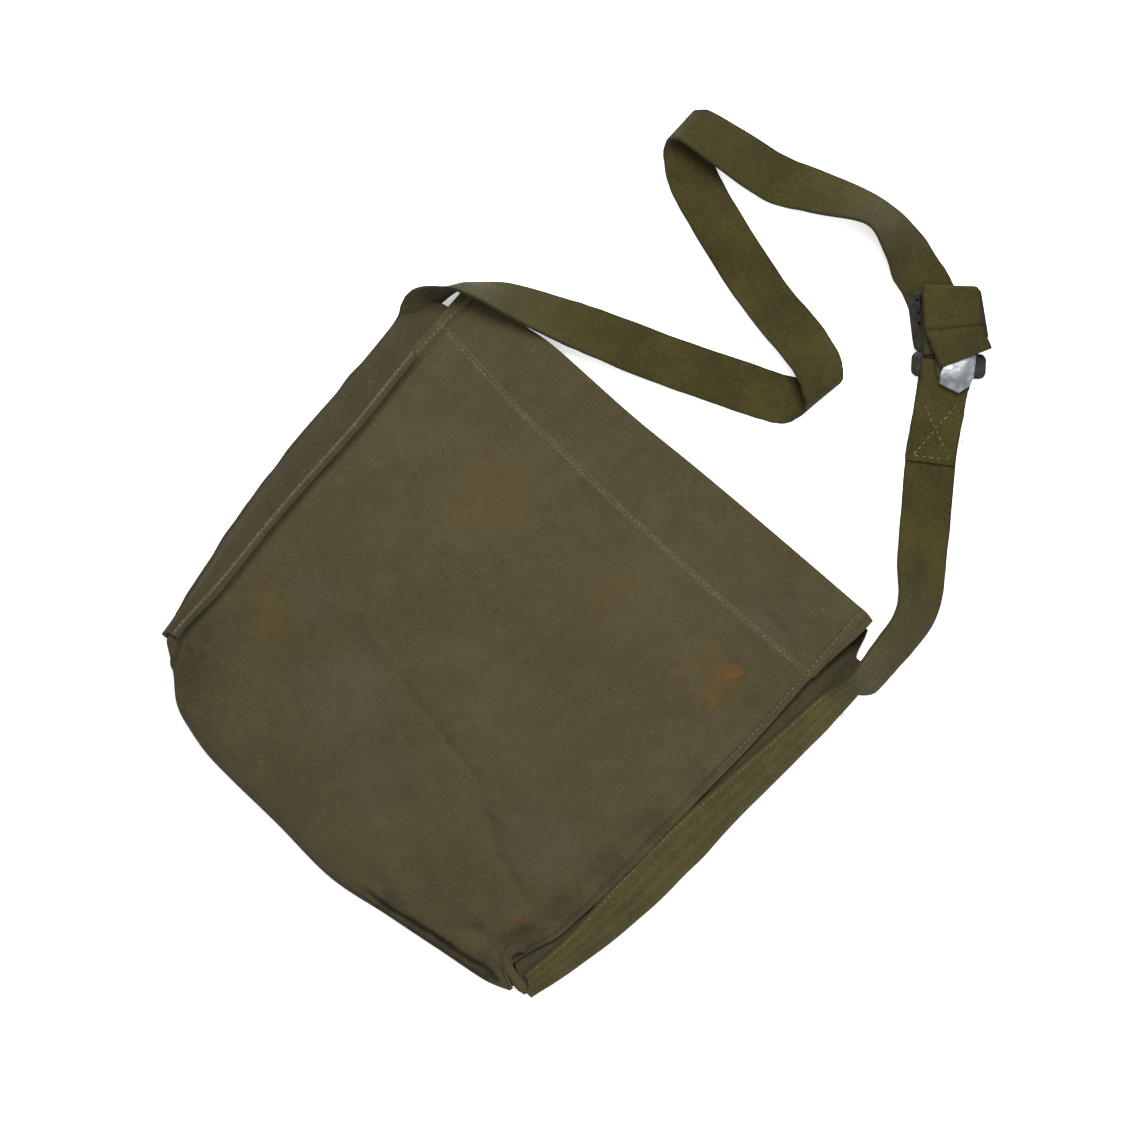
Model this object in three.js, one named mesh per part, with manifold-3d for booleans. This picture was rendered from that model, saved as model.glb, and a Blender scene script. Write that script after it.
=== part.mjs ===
// Olive canvas field bag lying on its back: one folded body canvas, two collapsed side gussets,
// a long carrying strap, a short strap and the steel buckle that joins them. Millimetres, +Z up.
// X runs across the bag, Y towards its mouth, and the origin lies under the middle of the back.

import * as THREE from "three";
import { mergeVertices } from "three/addons/utils/BufferGeometryUtils.js";
import Module from "manifold-3d";

const wasm = await Module();
wasm.setup();

// Driving dimensions
const CANVAS = 1.2;
const HEM_CANVAS = 2.4;
const WEBBING_WIDTH = 33;
const WEBBING = 1.8;
const GAP = 0.3;
const CROWN = 7;
const SEAM_HEIGHT = { left: 10.5, right: 13 };
const SEAM_ALLOWANCE = { left: 2.5, right: 5 };
const BOTTOM_ROUND = 8.5;
const BACK_MOUTH_DROP = 6;
const UNDER_LAYER = WEBBING + 2 * GAP + CANVAS / 2;
const BACK_LAP = HEM_CANVAS + GAP + CANVAS / 2;
const LAP = 8;
const TUCK = 8;
const TUCK_DROP = 3;
const EDGE_DROP = 1;

// Stitch lines of the side seams and edges of the collapsed gussets, a row for each height
const SEAMS = [
  { y: -180, left: -178, right: 136, leftEdge: -185, rightEdge: 148, backLeft: -154, backRight: 136 },
  { y: -137, left: -178, right: 138, leftEdge: -186.5, rightEdge: 162, backLeft: -154, backRight: 141 },
  { y: -91, left: -177, right: 143.5, leftEdge: -192, rightEdge: 172.5, backLeft: -153, backRight: 147 },
  { y: -45, left: -176, right: 148, leftEdge: -195.5, rightEdge: 179, backLeft: -152, backRight: 152 },
  { y: 0, left: -174.5, right: 152.5, leftEdge: -196.5, rightEdge: 182.5, backLeft: -152, backRight: 157 },
  { y: 45, left: -171.5, right: 157, leftEdge: -195, rightEdge: 188, backLeft: -152, backRight: 161 },
  { y: 100, left: -171, right: 160, leftEdge: -193, rightEdge: 193.5, backLeft: -152, backRight: 167 },
  { y: 155, left: -168, right: 163, leftEdge: -190, rightEdge: 194, backLeft: -152, backRight: 175 },
];

// Mouth edge, hem line and bottom fold across the front, from the left seam to the right one
const PANEL = [
  { across: 0, top: 155, hem: 131, bottom: -145 },
  { across: 0.04, top: 158, hem: 128, bottom: -157.5 },
  { across: 0.08, top: 161, hem: 125.5, bottom: -170.5 },
  { across: 0.13, top: 163, hem: 122.5, bottom: -177.5 },
  { across: 0.2, top: 164.5, hem: 119, bottom: -184 },
  { across: 0.4, top: 160.5, hem: 111, bottom: -192 },
  { across: 0.56, top: 159.5, hem: 107, bottom: -197.5 },
  { across: 0.7, top: 158, hem: 103.5, bottom: -195.5 },
  { across: 0.85, top: 156, hem: 101, bottom: -190.5 },
  { across: 0.95, top: 154.5, hem: 99, bottom: -185 },
  { across: 1, top: 152, hem: 99, bottom: -180 },
];

// How full the bag stands from the mouth down to the bottom fold
const FULLNESS = [
  { down: 0, share: 0.45 },
  { down: 0.3, share: 0.8 },
  { down: 0.6, share: 1 },
  { down: 0.85, share: 0.85 },
  { down: 1, share: 0.55 },
];

// Creases of the front, each along a line, with its half width and its depth
const CREASES = [
  { x: -32, y: -70, toX: 64, toY: -108, width: 12, depth: 1.6 },
  { x: 64, y: -108, toX: 118, toY: -134, width: 11, depth: 2 },
  { x: 23, y: -184, toX: 112, toY: -177, width: 6, depth: 2.6 },
  { x: -158, y: -112, toX: -142, toY: -160, width: 13, depth: 2.4 },
  { x: 118, y: -168, toX: 126, toY: -150, width: 9, depth: 1.8 },
  { x: -60, y: 60, toX: 70, toY: 40, width: 26, depth: 1.2 },
];

// Long strap: cross-lines along its run. side is the bearing in plan of the strap's left edge as
// seen from its middle, lift how far that edge is raised, both in degrees.
const LONG_RUN = [
  { x: -171.5, y: -126, z: 0.9, side: 180, lift: 0 },
  { x: -175.5, y: -91, z: 0.9, side: 180, lift: 0 },
  { x: -180, y: 0, z: 0.9, side: 180, lift: 0 },
  { x: -178, y: 60, z: 0.9, side: 180, lift: 0 },
  { x: -177, y: 112, z: 0.9, side: 180, lift: 0 },
  { x: -181.5, y: 126, z: 7, side: 179, lift: 22 },
  { x: -187, y: 138, z: 14.8, side: 170, lift: 56 },
  { x: -181.5, y: 150.5, z: 17.4, side: 140, lift: 88 },
  { x: -165, y: 161.5, z: 17, side: 322, lift: 72 },
  { x: -141.6, y: 170.6, z: 14, side: 296, lift: 48 },
  { x: -108.7, y: 180.9, z: 9.6, side: 292, lift: 30 },
  { x: -85.9, y: 188.2, z: 7, side: 291, lift: 20 },
  { x: -40.7, y: 202, z: 3.4, side: 289, lift: 8 },
  { x: 5, y: 217.9, z: 0.9, side: 288, lift: 0 },
  { x: 32, y: 227.5, z: 0.9, side: 283, lift: 0 },
  { x: 49.3, y: 236, z: 0.9, side: 264, lift: 0, span: 35 },
  { x: 53.7, y: 238.5, z: 2.7, side: 263, lift: 0, span: 35 },
  { x: 55.6, y: 241.4, z: 6.9, side: 262, lift: 0, span: 35 },
  { x: 54, y: 245, z: 11.1, side: 261, lift: 0, span: 35 },
  { x: 49.5, y: 248.5, z: 12.9, side: 258, lift: 0, span: 35 },
  { x: 33.8, y: 258.5, z: 12, side: 238, lift: -12 },
  { x: 18.3, y: 267.4, z: 10, side: 245, lift: -32 },
  { x: -9.1, y: 274.4, z: 6.6, side: 251, lift: -22 },
  { x: -45.7, y: 286.4, z: 2.5, side: 252, lift: -5 },
  { x: -87.2, y: 302.4, z: 0.9, side: 249, lift: 0 },
  { x: -104, y: 311.5, z: 0.9, side: 246, lift: 0 },
  { x: -116.9, y: 324.3, z: 0.9, side: 256, lift: 0, span: 35 },
  { x: -120.6, y: 326.8, z: 2.7, side: 257, lift: 0, span: 35 },
  { x: -122.2, y: 329.3, z: 6.9, side: 257, lift: 0, span: 35 },
  { x: -120.4, y: 331.2, z: 11.1, side: 257, lift: 0, span: 35 },
  { x: -116, y: 332.8, z: 12.9, side: 260, lift: 0, span: 34 },
  { x: -91.3, y: 336.2, z: 10, side: 274, lift: 2 },
  { x: -54.8, y: 340.7, z: 5, side: 283, lift: 10 },
  { x: -28.3, y: 350, z: 8.5, side: 288, lift: 26 },
  { x: 9.1, y: 362.4, z: 14.5, side: 272, lift: 48 },
  { x: 36.5, y: 357.6, z: 10.5, side: 253, lift: 30 },
  { x: 52, y: 351, z: 4.4, side: 247, lift: 10 },
];

// The strap's layers at the buckle, in the buckle's own axes: along its length and across it
const BUCKLE_RUN = [
  { along: -24, across: -9.5, z: 1.6, side: 240 },
  { along: 0, across: -3, z: 0.95, side: 230 },
  { along: 15, across: 0, z: 0.95, side: 224 },
  { along: 18.9, across: 0, z: 1.75, side: 224 },
  { along: 19.8, across: 0, z: 3.7, side: 224 },
  { along: 18.9, across: 0, z: 5.65, side: 224 },
  { along: 16, across: 0, z: 6.45, side: 224 },
  { along: -18, across: 0, z: 6.35, side: 224 },
  { along: -21.9, across: 0, z: 7.15, side: 224 },
  { along: -22.8, across: 0, z: 9.1, side: 224 },
  { along: -21.9, across: 0, z: 11.05, side: 224 },
  { along: -18, across: 0.6, z: 11.9, side: 223 },
  { along: 0, across: 4.4, z: 12.8, side: 222 },
  { along: 19.5, across: 8.5, z: 13.5, side: 227 },
  { along: 21, across: 9, z: 12.3, side: 227 },
  { along: 19.5, across: 9, z: 11.1, side: 226 },
  { along: 13, across: 8.6, z: 11.1, side: 218 },
  { along: 11.6, across: 8.2, z: 9.9, side: 216, span: 31 },
  { along: 13, across: 7.8, z: 8.7, side: 213, span: 30 },
  { along: 26.4, across: 6.6, z: 8.7, side: 200, span: 19 },
];

// Short strap beyond the right gusset: it runs to the buckle, round the bar and back on itself
const SHORT_RUN = [
  { x: 193.5, y: 119.5, z: 14, side: 180, lift: 50 },
  { x: 193.6, y: 137, z: 13.2, side: 180, lift: 45 },
  { x: 193.6, y: 164.4, z: 11.6, side: 184, lift: 38 },
  { x: 188.5, y: 182.4, z: 8.4, side: 204, lift: 26 },
  { x: 174.5, y: 203, z: 4.2, side: 213, lift: 11 },
  { x: 160.8, y: 224.7, z: 0.9, side: 211, lift: 0 },
  { x: 138.4, y: 259, z: 0.9, side: 210, lift: 0 },
  { x: 119.7, y: 292.3, z: 0.9, side: 211, lift: 0 },
  { x: 107.6, y: 313.9, z: 0.9, side: 214.5, lift: 0 },
  { x: 106.6, y: 315.4, z: 1.6, side: 214.5, lift: 0 },
  { x: 106.2, y: 316, z: 3.35, side: 214.5, lift: 0 },
  { x: 106.6, y: 315.4, z: 5.1, side: 214.5, lift: 0 },
  { x: 107.6, y: 313.9, z: 5.8, side: 214.5, lift: 0 },
  { x: 113.4, y: 305.5, z: 5.8, side: 214, lift: 0 },
  { x: 117, y: 297.5, z: 4.6, side: 211, lift: 0 },
  { x: 124, y: 285, z: 3.1, side: 210, lift: 0 },
  { x: 135.2, y: 262.5, z: 3.1, side: 210, lift: 0 },
];

const BUCKLE = {
  x: 90, y: 335.5, bearing: -46, tilt: 8.3, width: 42, rail: 3.9, bar: 2.4, corner: 3,
};
const BUCKLE_BARS = { top: -20, lower: 17, topHeight: 9.1, lowerHeight: 3.7 };
const TONGUES = { left: 2.2, right: 12.4 };
const RAIL_HOLES = { count: 3, first: -13, pitch: 7, radius: 1 };
const PLATE_BAR = { x: 110, y: 310.4, bearing: 34.5, length: 49, width: 9, height: 3.35 };
const TIP = {
  length: 21, width: 20, thickness: 2.6, point: 7, along: 26.8, across: 6.55, z: 8.7, bearing: -70,
};

const DENSITY = { body: [24, 26, 7, 8], gusset: [40, 18], sewn: [14, 14], free: 3 };

// Smooth value of one column of a table at a place along its key column
function column(rows, key, name) {
  const slope = (i) => {
    const before = rows[Math.max(i - 1, 0)];
    const after = rows[Math.min(i + 1, rows.length - 1)];
    return (after[name] - before[name]) / (after[key] - before[key]);
  };
  return (at) => {
    const last = rows.length - 2;
    let i = rows.findIndex((row) => row[key] > at) - 1;
    i = i === -2 ? last : Math.min(Math.max(i, 0), last);
    const step = rows[i + 1][key] - rows[i][key];
    const t = THREE.MathUtils.clamp((at - rows[i][key]) / step, 0, 1);
    const a = rows[i][name];
    const b = rows[i + 1][name];
    const curve = (1 - t) * slope(i) * step - t * slope(i + 1) * step;
    return a + (b - a) * t + t * (1 - t) * (curve - (1 - 2 * t) * (b - a));
  };
}

const seam = Object.fromEntries(
  Object.keys(SEAMS[0]).slice(1).map((name) => [name, column(SEAMS, "y", name)]),
);
const panel = Object.fromEntries(
  Object.keys(PANEL[0]).slice(1).map((name) => [name, column(PANEL, "across", name)]),
);
const fullness = column(FULLNESS, "down", "share");

// A closed wall: a thin box whose every vertex is placed by its share across, along and through
function wall(columns, rows, place) {
  const geometry = new THREE.BoxGeometry(1, 1, 1, columns, rows, 1);
  const position = geometry.attributes.position;
  for (let i = 0; i < position.count; i += 1) {
    const point = place(position.getX(i) + 0.5, position.getY(i) + 0.5, position.getZ(i) + 0.5);
    position.setXYZ(i, point.x, point.y, point.z);
  }
  return closed(geometry);
}

// Merge a geometry's shared vertices and turn its faces outwards
function closed(geometry) {
  geometry.deleteAttribute("normal");
  geometry.deleteAttribute("uv");
  const merged = mergeVertices(geometry, 1e-4);
  const index = merged.index;
  const corners = [new THREE.Vector3(), new THREE.Vector3(), new THREE.Vector3()];
  let volume = 0;
  for (let i = 0; i < index.count; i += 3) {
    for (let k = 0; k < corners.length; k += 1) {
      corners[k].fromBufferAttribute(merged.attributes.position, index.getX(i + k));
    }
    volume += corners[0].dot(corners[1].cross(corners[2]));
  }
  if (volume < 0) {
    for (let i = 0; i < index.count; i += 3) {
      const second = index.getX(i + 1);
      index.setX(i + 1, index.getX(i + 2));
      index.setX(i + 2, second);
    }
  }
  merged.computeVertexNormals();
  return merged;
}

function mesh(name, geometry, material) {
  const piece = new THREE.Mesh(geometry, new THREE.MeshStandardMaterial(material));
  piece.name = name;
  return piece;
}

function toSolid(geometry) {
  const vertProperties = new Float32Array(geometry.attributes.position.array);
  const triVerts = new Uint32Array(geometry.index.array);
  return new wasm.Manifold(new wasm.Mesh({ numProp: 3, vertProperties, triVerts }));
}

function fromSolid(solid) {
  const { vertProperties, triVerts } = solid.getMesh();
  const geometry = new THREE.BufferGeometry();
  geometry.setAttribute("position", new THREE.BufferAttribute(new Float32Array(vertProperties), 3));
  geometry.setIndex(new THREE.BufferAttribute(new Uint32Array(triVerts), 1));
  geometry.computeVertexNormals();
  return geometry;
}

// Front of the bag: where a share across and a height fall, and how high the canvas stands there
function frontX(across, y) {
  const left = seam.left(y) - SEAM_ALLOWANCE.left;
  const right = seam.right(y) + SEAM_ALLOWANCE.right;
  return THREE.MathUtils.lerp(left, right, across);
}

function creaseDepth(x, y) {
  let depth = 0;
  for (const crease of CREASES) {
    const run = new THREE.Vector2(crease.toX - crease.x, crease.toY - crease.y);
    const from = new THREE.Vector2(x - crease.x, y - crease.y);
    const share = THREE.MathUtils.clamp(from.dot(run) / run.lengthSq(), 0, 1);
    const distance = from.addScaledVector(run, -share).length() / crease.width;
    depth += crease.depth * Math.exp(-distance * distance);
  }
  return depth;
}

function frontHeight(across, y) {
  const top = panel.top(across);
  const down = THREE.MathUtils.clamp((top - y) / (top - panel.bottom(across)), 0, 1);
  const bulge = Math.sin(Math.PI * across) ** 0.7 * fullness(down) * CROWN;
  const level = THREE.MathUtils.lerp(SEAM_HEIGHT.left, SEAM_HEIGHT.right, across);
  const calm = THREE.MathUtils.smoothstep(Math.min(across, 1 - across), 0.02, 0.1);
  return level + bulge - creaseDepth(frontX(across, y), y) * calm;
}

// One canvas from the front's mouth down, round the bottom fold and up the back
function bodyCanvas() {
  const [columns, frontRows, foldRows, backRows] = DENSITY.body;
  const rows = frontRows + foldRows + backRows;
  const place = (across, along, side) => {
    const row = Math.round(along * rows);
    const top = panel.top(across);
    const bottom = panel.bottom(across);
    const foldY = bottom + BOTTOM_ROUND;
    const foldHeight = frontHeight(across, foldY);
    const point = new THREE.Vector3();
    const inward = new THREE.Vector3();
    let thickness = CANVAS;
    if (row <= frontRows) {
      const down = 1 - (1 - row / frontRows) ** 1.25;
      const y = THREE.MathUtils.lerp(top, foldY, down);
      point.set(frontX(across, y), y, frontHeight(across, y));
      inward.set(0, 0, -1);
      thickness = y > panel.hem(across) ? HEM_CANVAS : CANVAS;
    } else if (row < frontRows + foldRows) {
      const turn = (Math.PI * (row - frontRows)) / foldRows;
      const y = foldY - BOTTOM_ROUND * Math.sin(turn);
      const backX = THREE.MathUtils.lerp(seam.backLeft(foldY), seam.backRight(foldY), across);
      const x = THREE.MathUtils.lerp(frontX(across, foldY), backX, (1 - Math.cos(turn)) / 2);
      point.set(x, y, (foldHeight * (1 + Math.cos(turn))) / 2);
      inward.set(0, Math.sin(turn), -Math.cos(turn));
    } else {
      const up = (row - frontRows - foldRows) / backRows;
      const y = THREE.MathUtils.lerp(foldY, top - BACK_MOUTH_DROP, up);
      point.set(THREE.MathUtils.lerp(seam.backLeft(y), seam.backRight(y), across), y, 0);
      inward.set(0, 0, 1);
      thickness = y > panel.hem(across) ? HEM_CANVAS : CANVAS;
    }
    return point.addScaledVector(inward, thickness * (1 - side));
  };
  return wall(columns, rows, place);
}

// Sections of the collapsed gussets at one height, from the front seam round the outer edge to the back
function leftSection(y) {
  const over = frontHeight(0.03, y) + GAP + CANVAS / 2;
  const stitch = seam.left(y);
  const edge = seam.leftEdge(y) + CANVAS / 2;
  const back = Math.max(seam.backLeft(y), edge + 22);
  return [
    [stitch + LAP / 2, over], [stitch - LAP / 2, over], [(stitch + edge) / 2 - 2, over - 1.4],
    [edge + 3, 7.4], [edge, 5], [edge + 3, UNDER_LAYER], [edge + 14, UNDER_LAYER],
    [back - 5, UNDER_LAYER], [back + LAP, BACK_LAP],
  ];
}

function rightSection(y) {
  const below = SEAM_HEIGHT.right - HEM_CANVAS - 2 * GAP - CANVAS / 2;
  const stitch = seam.right(y);
  const edge = seam.rightEdge(y) - CANVAS / 2;
  const back = seam.backRight(y);
  const low = below - TUCK_DROP;
  const high = low - EDGE_DROP;
  return [
    [stitch + SEAM_ALLOWANCE.right - 1, below], [stitch - TUCK + 3, below],
    [stitch - TUCK, (below + low) / 2], [stitch - TUCK + 3, low], [(stitch + edge) / 2, (low + high) / 2], [edge - 4, high],
    [edge, (high + UNDER_LAYER) / 2], [edge - 3, UNDER_LAYER], [edge - 14, UNDER_LAYER],
    [Math.min(back + 4, edge - 16), UNDER_LAYER], [Math.min(back - LAP, edge - 22), BACK_LAP],
  ];
}

// The gussets: which way each faces, which point of its section is the outer edge and the share of the
// columns up to that edge, and where it ends, below and above
const GUSSETS = {
  left: {
    section: leftSection, outward: -1, edgePoint: 4, edgeShare: 0.4,
    end: -137, ear: 5, top: 140, edgeTop: 111,
  },
  right: {
    section: rightSection, outward: 1, edgePoint: 6, edgeShare: 0.5,
    end: -162, ear: 14, top: 140, edgeTop: 92,
  },
};
const STEPS_PER_POINT = 20;

// A point of a gusset's section at one height, moved off its mid line, outwards from the bag
function gussetPoint({ section, outward, edgePoint, edgeShare }, share, y, distance) {
  const points = section(y).map(([x, z]) => new THREE.Vector3(x, y, z));
  const curve = new THREE.CatmullRomCurve3(points, false, "centripetal");
  curve.arcLengthDivisions = STEPS_PER_POINT * (points.length - 1);
  const edge = curve.getLengths()[STEPS_PER_POINT * edgePoint] / curve.getLength();
  const beyond = (share - edgeShare) / (1 - edgeShare);
  const at = beyond < 0 ? (edge * share) / edgeShare : THREE.MathUtils.lerp(edge, 1, beyond);
  const tangent = curve.getTangentAt(at);
  const normal = new THREE.Vector3(-tangent.z, 0, tangent.x).multiplyScalar(outward);
  return curve.getPointAt(at).addScaledVector(normal, distance);
}

function gussetHeight({ end, ear, top, edgeTop }, across, along) {
  const bulge = Math.sin(Math.PI * Math.min(across * 1.15, 1)) ** 3;
  const bottom = end - ear * bulge;
  const upper = THREE.MathUtils.lerp(top, edgeTop, THREE.MathUtils.smoothstep(across, 0.02, 0.4));
  return THREE.MathUtils.lerp(bottom, upper, along);
}

function gusset(side) {
  const [columns, rows] = DENSITY.gusset;
  return wall(columns, rows, (across, along, through) => {
    const y = gussetHeight(side, across, along);
    return gussetPoint(side, across, y, CANVAS * (through - 0.5));
  });
}

// A strap's cross-line as its middle and half of its width
function crossLine({ x, y, z, side, lift = 0, span = WEBBING_WIDTH }) {
  const bearing = THREE.MathUtils.degToRad(side);
  const rise = THREE.MathUtils.degToRad(lift);
  const half = new THREE.Vector3(
    Math.cos(bearing) * Math.cos(rise), Math.sin(bearing) * Math.cos(rise), Math.sin(rise),
  ).multiplyScalar(span / 2);
  return { middle: new THREE.Vector3(x, y, z), half };
}

// A strap through its cross-lines: smooth curves carry the middle and the half width
function ribbon(rows) {
  const lines = rows.map(crossLine);
  const middle = new THREE.CatmullRomCurve3(lines.map((line) => line.middle), false, "catmullrom", 0.5);
  const half = new THREE.CatmullRomCurve3(lines.map((line) => line.half), false, "catmullrom", 0.5);
  return (across, along, through) => {
    const spread = half.getPoint(along);
    const length = THREE.MathUtils.lerp(...spanAt(lines, along));
    spread.setLength(length);
    const normal = middle.getTangent(along).cross(spread).normalize();
    const point = middle.getPoint(along)
      .addScaledVector(spread, 1 - 2 * across)
      .addScaledVector(normal, WEBBING * (through - 0.5));
    const upper = normal.z * (through - 0.5) > 0;
    point.z = Math.max(point.z, upper ? WEBBING * Math.abs(normal.z) : 0);
    return point;
  };
}

function spanAt(lines, along) {
  const place = along * (lines.length - 1);
  const i = Math.min(Math.floor(place), lines.length - 2);
  return [lines[i].half.length(), lines[i + 1].half.length(), place - i];
}

function buckleAxes() {
  const bearing = THREE.MathUtils.degToRad(BUCKLE.bearing);
  const along = new THREE.Vector2(Math.cos(bearing), Math.sin(bearing));
  return { along, across: new THREE.Vector2(-along.y, along.x) };
}

function buckleRow({ along, across, ...rest }) {
  const axes = buckleAxes();
  return {
    x: BUCKLE.x + axes.along.x * along + axes.across.x * across,
    y: BUCKLE.y + axes.along.y * along + axes.across.y * across,
    ...rest,
  };
}

function longStrap() {
  const rows = [...LONG_RUN, ...BUCKLE_RUN.map(buckleRow)];
  return wall(1, (rows.length - 1) * DENSITY.free, ribbon(rows));
}

// Webbing sewn on the right gusset, from the ear up: where it starts and how far it reaches across the
// gusset's own shares, with one of its columns on the gusset's outer edge
const SEWN = {
  start: -170, end: 92, share: 0.26, width: 0.35, lowerShift: 0.1, upperShift: 0.125,
  edgeColumn: 8, gap: 0.5,
};

function sewnPoint(across, y, through) {
  const lower = SEWN.lowerShift * (1 - THREE.MathUtils.smoothstep(y, SEWN.start, -90));
  const upper = SEWN.upperShift * THREE.MathUtils.smoothstep(y, -20, SEWN.end);
  const first = SEWN.share + lower + upper;
  const edge = GUSSETS.right.edgeShare;
  const [columns] = DENSITY.sewn;
  const place = across * columns;
  const share = place < SEWN.edgeColumn
    ? THREE.MathUtils.mapLinear(place, 0, SEWN.edgeColumn, first, edge)
    : THREE.MathUtils.mapLinear(place, SEWN.edgeColumn, columns, edge, first + SEWN.width);
  const point = gussetPoint(GUSSETS.right, share, y, CANVAS / 2 + SEWN.gap + WEBBING * through);
  point.z = Math.max(point.z, 0);
  return point;
}

function shortStrap() {
  const [columns, sewnRows] = DENSITY.sewn;
  const freeRows = (SHORT_RUN.length - 1) * DENSITY.free;
  const joinRows = 4;
  const rows = sewnRows + joinRows + freeRows;
  const run = ribbon(SHORT_RUN);
  return wall(columns, rows, (across, along, through) => {
    const row = Math.round(along * rows);
    if (row <= sewnRows) {
      return sewnPoint(across, THREE.MathUtils.lerp(SEWN.start, SEWN.end, row / sewnRows), through);
    }
    if (row >= sewnRows + joinRows) {
      return run(across, (row - sewnRows - joinRows) / freeRows, through);
    }
    const share = (row - sewnRows) / joinRows;
    const blend = THREE.MathUtils.smoothstep(share, 0, 1);
    return sewnPoint(across, SEWN.end, through).lerp(run(across, 0, through), blend);
  });
}

function roundedRectangle(path, width, height, radius) {
  const x = width / 2;
  const y = height / 2;
  path.moveTo(-x + radius, -y);
  path.lineTo(x - radius, -y).absarc(x - radius, -y + radius, radius, -Math.PI / 2, 0, false);
  path.lineTo(x, y - radius).absarc(x - radius, y - radius, radius, 0, Math.PI / 2, false);
  path.lineTo(-x + radius, y).absarc(-x + radius, y - radius, radius, Math.PI / 2, Math.PI, false);
  path.lineTo(-x, -y + radius).absarc(-x + radius, -y + radius, radius, Math.PI, 1.5 * Math.PI, false);
  return path;
}

// Steel frame: two rails and two bars, with small holes along the left rail. Each rail ends in a
// tongue that reaches to the bar plate.
function buckleFrame() {
  const reach = (BUCKLE_BARS.lower - BUCKLE_BARS.top + BUCKLE.bar) / 2;
  const half = BUCKLE.width / 2;
  const inner = half - BUCKLE.rail;
  const { corner } = BUCKLE;
  const outline = new THREE.Shape();
  outline.moveTo(-reach + corner, -half).lineTo(reach + TONGUES.left, -half);
  outline.lineTo(reach + TONGUES.left, -inner).lineTo(reach, -inner).lineTo(reach, inner);
  outline.lineTo(reach + TONGUES.right, inner).lineTo(reach + TONGUES.right, half);
  outline.lineTo(-reach + corner, half);
  outline.absarc(-reach + corner, half - corner, corner, Math.PI / 2, Math.PI, false);
  outline.lineTo(-reach, -half + corner);
  outline.absarc(-reach + corner, -half + corner, corner, Math.PI, 1.5 * Math.PI, false);
  outline.holes.push(roundedRectangle(new THREE.Path(), 2 * (reach - BUCKLE.bar), 2 * inner, 0.8));
  const settings = { depth: BUCKLE.bar, bevelEnabled: false, curveSegments: 4 };
  const frame = new THREE.ExtrudeGeometry(outline, settings);
  frame.translate(0, 0, -BUCKLE.bar / 2);
  let solid = toSolid(closed(frame));
  for (let i = 0; i < RAIL_HOLES.count; i += 1) {
    const hole = new THREE.CylinderGeometry(RAIL_HOLES.radius, RAIL_HOLES.radius, 2 * BUCKLE.bar, 10);
    hole.rotateX(Math.PI / 2);
    hole.translate(RAIL_HOLES.first + i * RAIL_HOLES.pitch, -half + BUCKLE.rail / 2, 0);
    solid = solid.subtract(toSolid(closed(hole)));
  }
  return fromSolid(solid);
}

function barPlate() {
  const { length, width } = PLATE_BAR;
  const outline = roundedRectangle(new THREE.Shape(), length, width, width / 2 - 0.01);
  const settings = { depth: BUCKLE.bar, bevelEnabled: false, curveSegments: 6 };
  const plate = new THREE.ExtrudeGeometry(outline, settings);
  plate.translate(0, 0, -BUCKLE.bar / 2);
  return closed(plate);
}

// Folded metal tip of the strap's tail: straight sides, a blunt point and bevelled edges
function strapTip() {
  const half = TIP.width / 2;
  const outline = new THREE.Shape();
  outline.moveTo(0, -half).lineTo(TIP.length - TIP.point, -half * 0.92).lineTo(TIP.length, -half * 0.4);
  outline.lineTo(TIP.length, half * 0.4).lineTo(TIP.length - TIP.point, half * 0.92).lineTo(0, half);
  outline.closePath();
  const bevel = 0.6;
  const tip = new THREE.ExtrudeGeometry(outline, {
    depth: TIP.thickness - 2 * bevel,
    bevelThickness: bevel,
    bevelSize: bevel,
    bevelOffset: -bevel,
    bevelSegments: 2,
  });
  tip.translate(0, 0, bevel - TIP.thickness / 2);
  return closed(tip);
}

const canvasLook = { color: 0x544d36, roughness: 0.95, metalness: 0 };
const webbingLook = { color: 0x4b4626, roughness: 0.95, metalness: 0 };
const blackSteel = { color: 0x1c1d1b, roughness: 0.5, metalness: 0.8 };
const brightSteel = { color: 0xc9cdd0, roughness: 0.35, metalness: 1 };

const bag = new THREE.Group();
bag.add(mesh("body_canvas", bodyCanvas(), canvasLook));
bag.add(mesh("gusset_left", gusset(GUSSETS.left), canvasLook));
bag.add(mesh("gusset_right", gusset(GUSSETS.right), canvasLook));
bag.add(mesh("strap_long", longStrap(), webbingLook));
bag.add(mesh("strap_short", shortStrap(), webbingLook));

const frame = mesh("buckle_frame", buckleFrame(), blackSteel);
const framePlace = buckleRow({ along: (BUCKLE_BARS.top + BUCKLE_BARS.lower) / 2, across: 0 });
frame.position.set(framePlace.x, framePlace.y, (BUCKLE_BARS.topHeight + BUCKLE_BARS.lowerHeight) / 2);
frame.rotation.order = "ZYX";
frame.rotation.set(0, THREE.MathUtils.degToRad(BUCKLE.tilt), THREE.MathUtils.degToRad(BUCKLE.bearing));
bag.add(frame);

const plate = mesh("buckle_bar", barPlate(), blackSteel);
plate.position.set(PLATE_BAR.x, PLATE_BAR.y, PLATE_BAR.height);
plate.rotation.z = THREE.MathUtils.degToRad(PLATE_BAR.bearing);
bag.add(plate);

const tip = mesh("strap_tip", strapTip(), brightSteel);
const tipPlace = buckleRow({ along: TIP.along, across: TIP.across });
tip.position.set(tipPlace.x, tipPlace.y, TIP.z);
tip.rotation.z = THREE.MathUtils.degToRad(TIP.bearing);
bag.add(tip);

export default bag;
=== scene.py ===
"""Looks of an olive canvas field bag that lies on its back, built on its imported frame.

Lengths in the tables are millimetres in the part's own frame: X across the bag, Y towards its mouth and
Z up from the surface that it lies on. The meshes are in metres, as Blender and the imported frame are.
"""

import logging
import math
from bisect import bisect_right
from dataclasses import dataclass
from enum import Enum
from typing import Callable, NamedTuple, Sequence

import bmesh
import bpy
from mathutils import Matrix, Vector, noise


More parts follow.
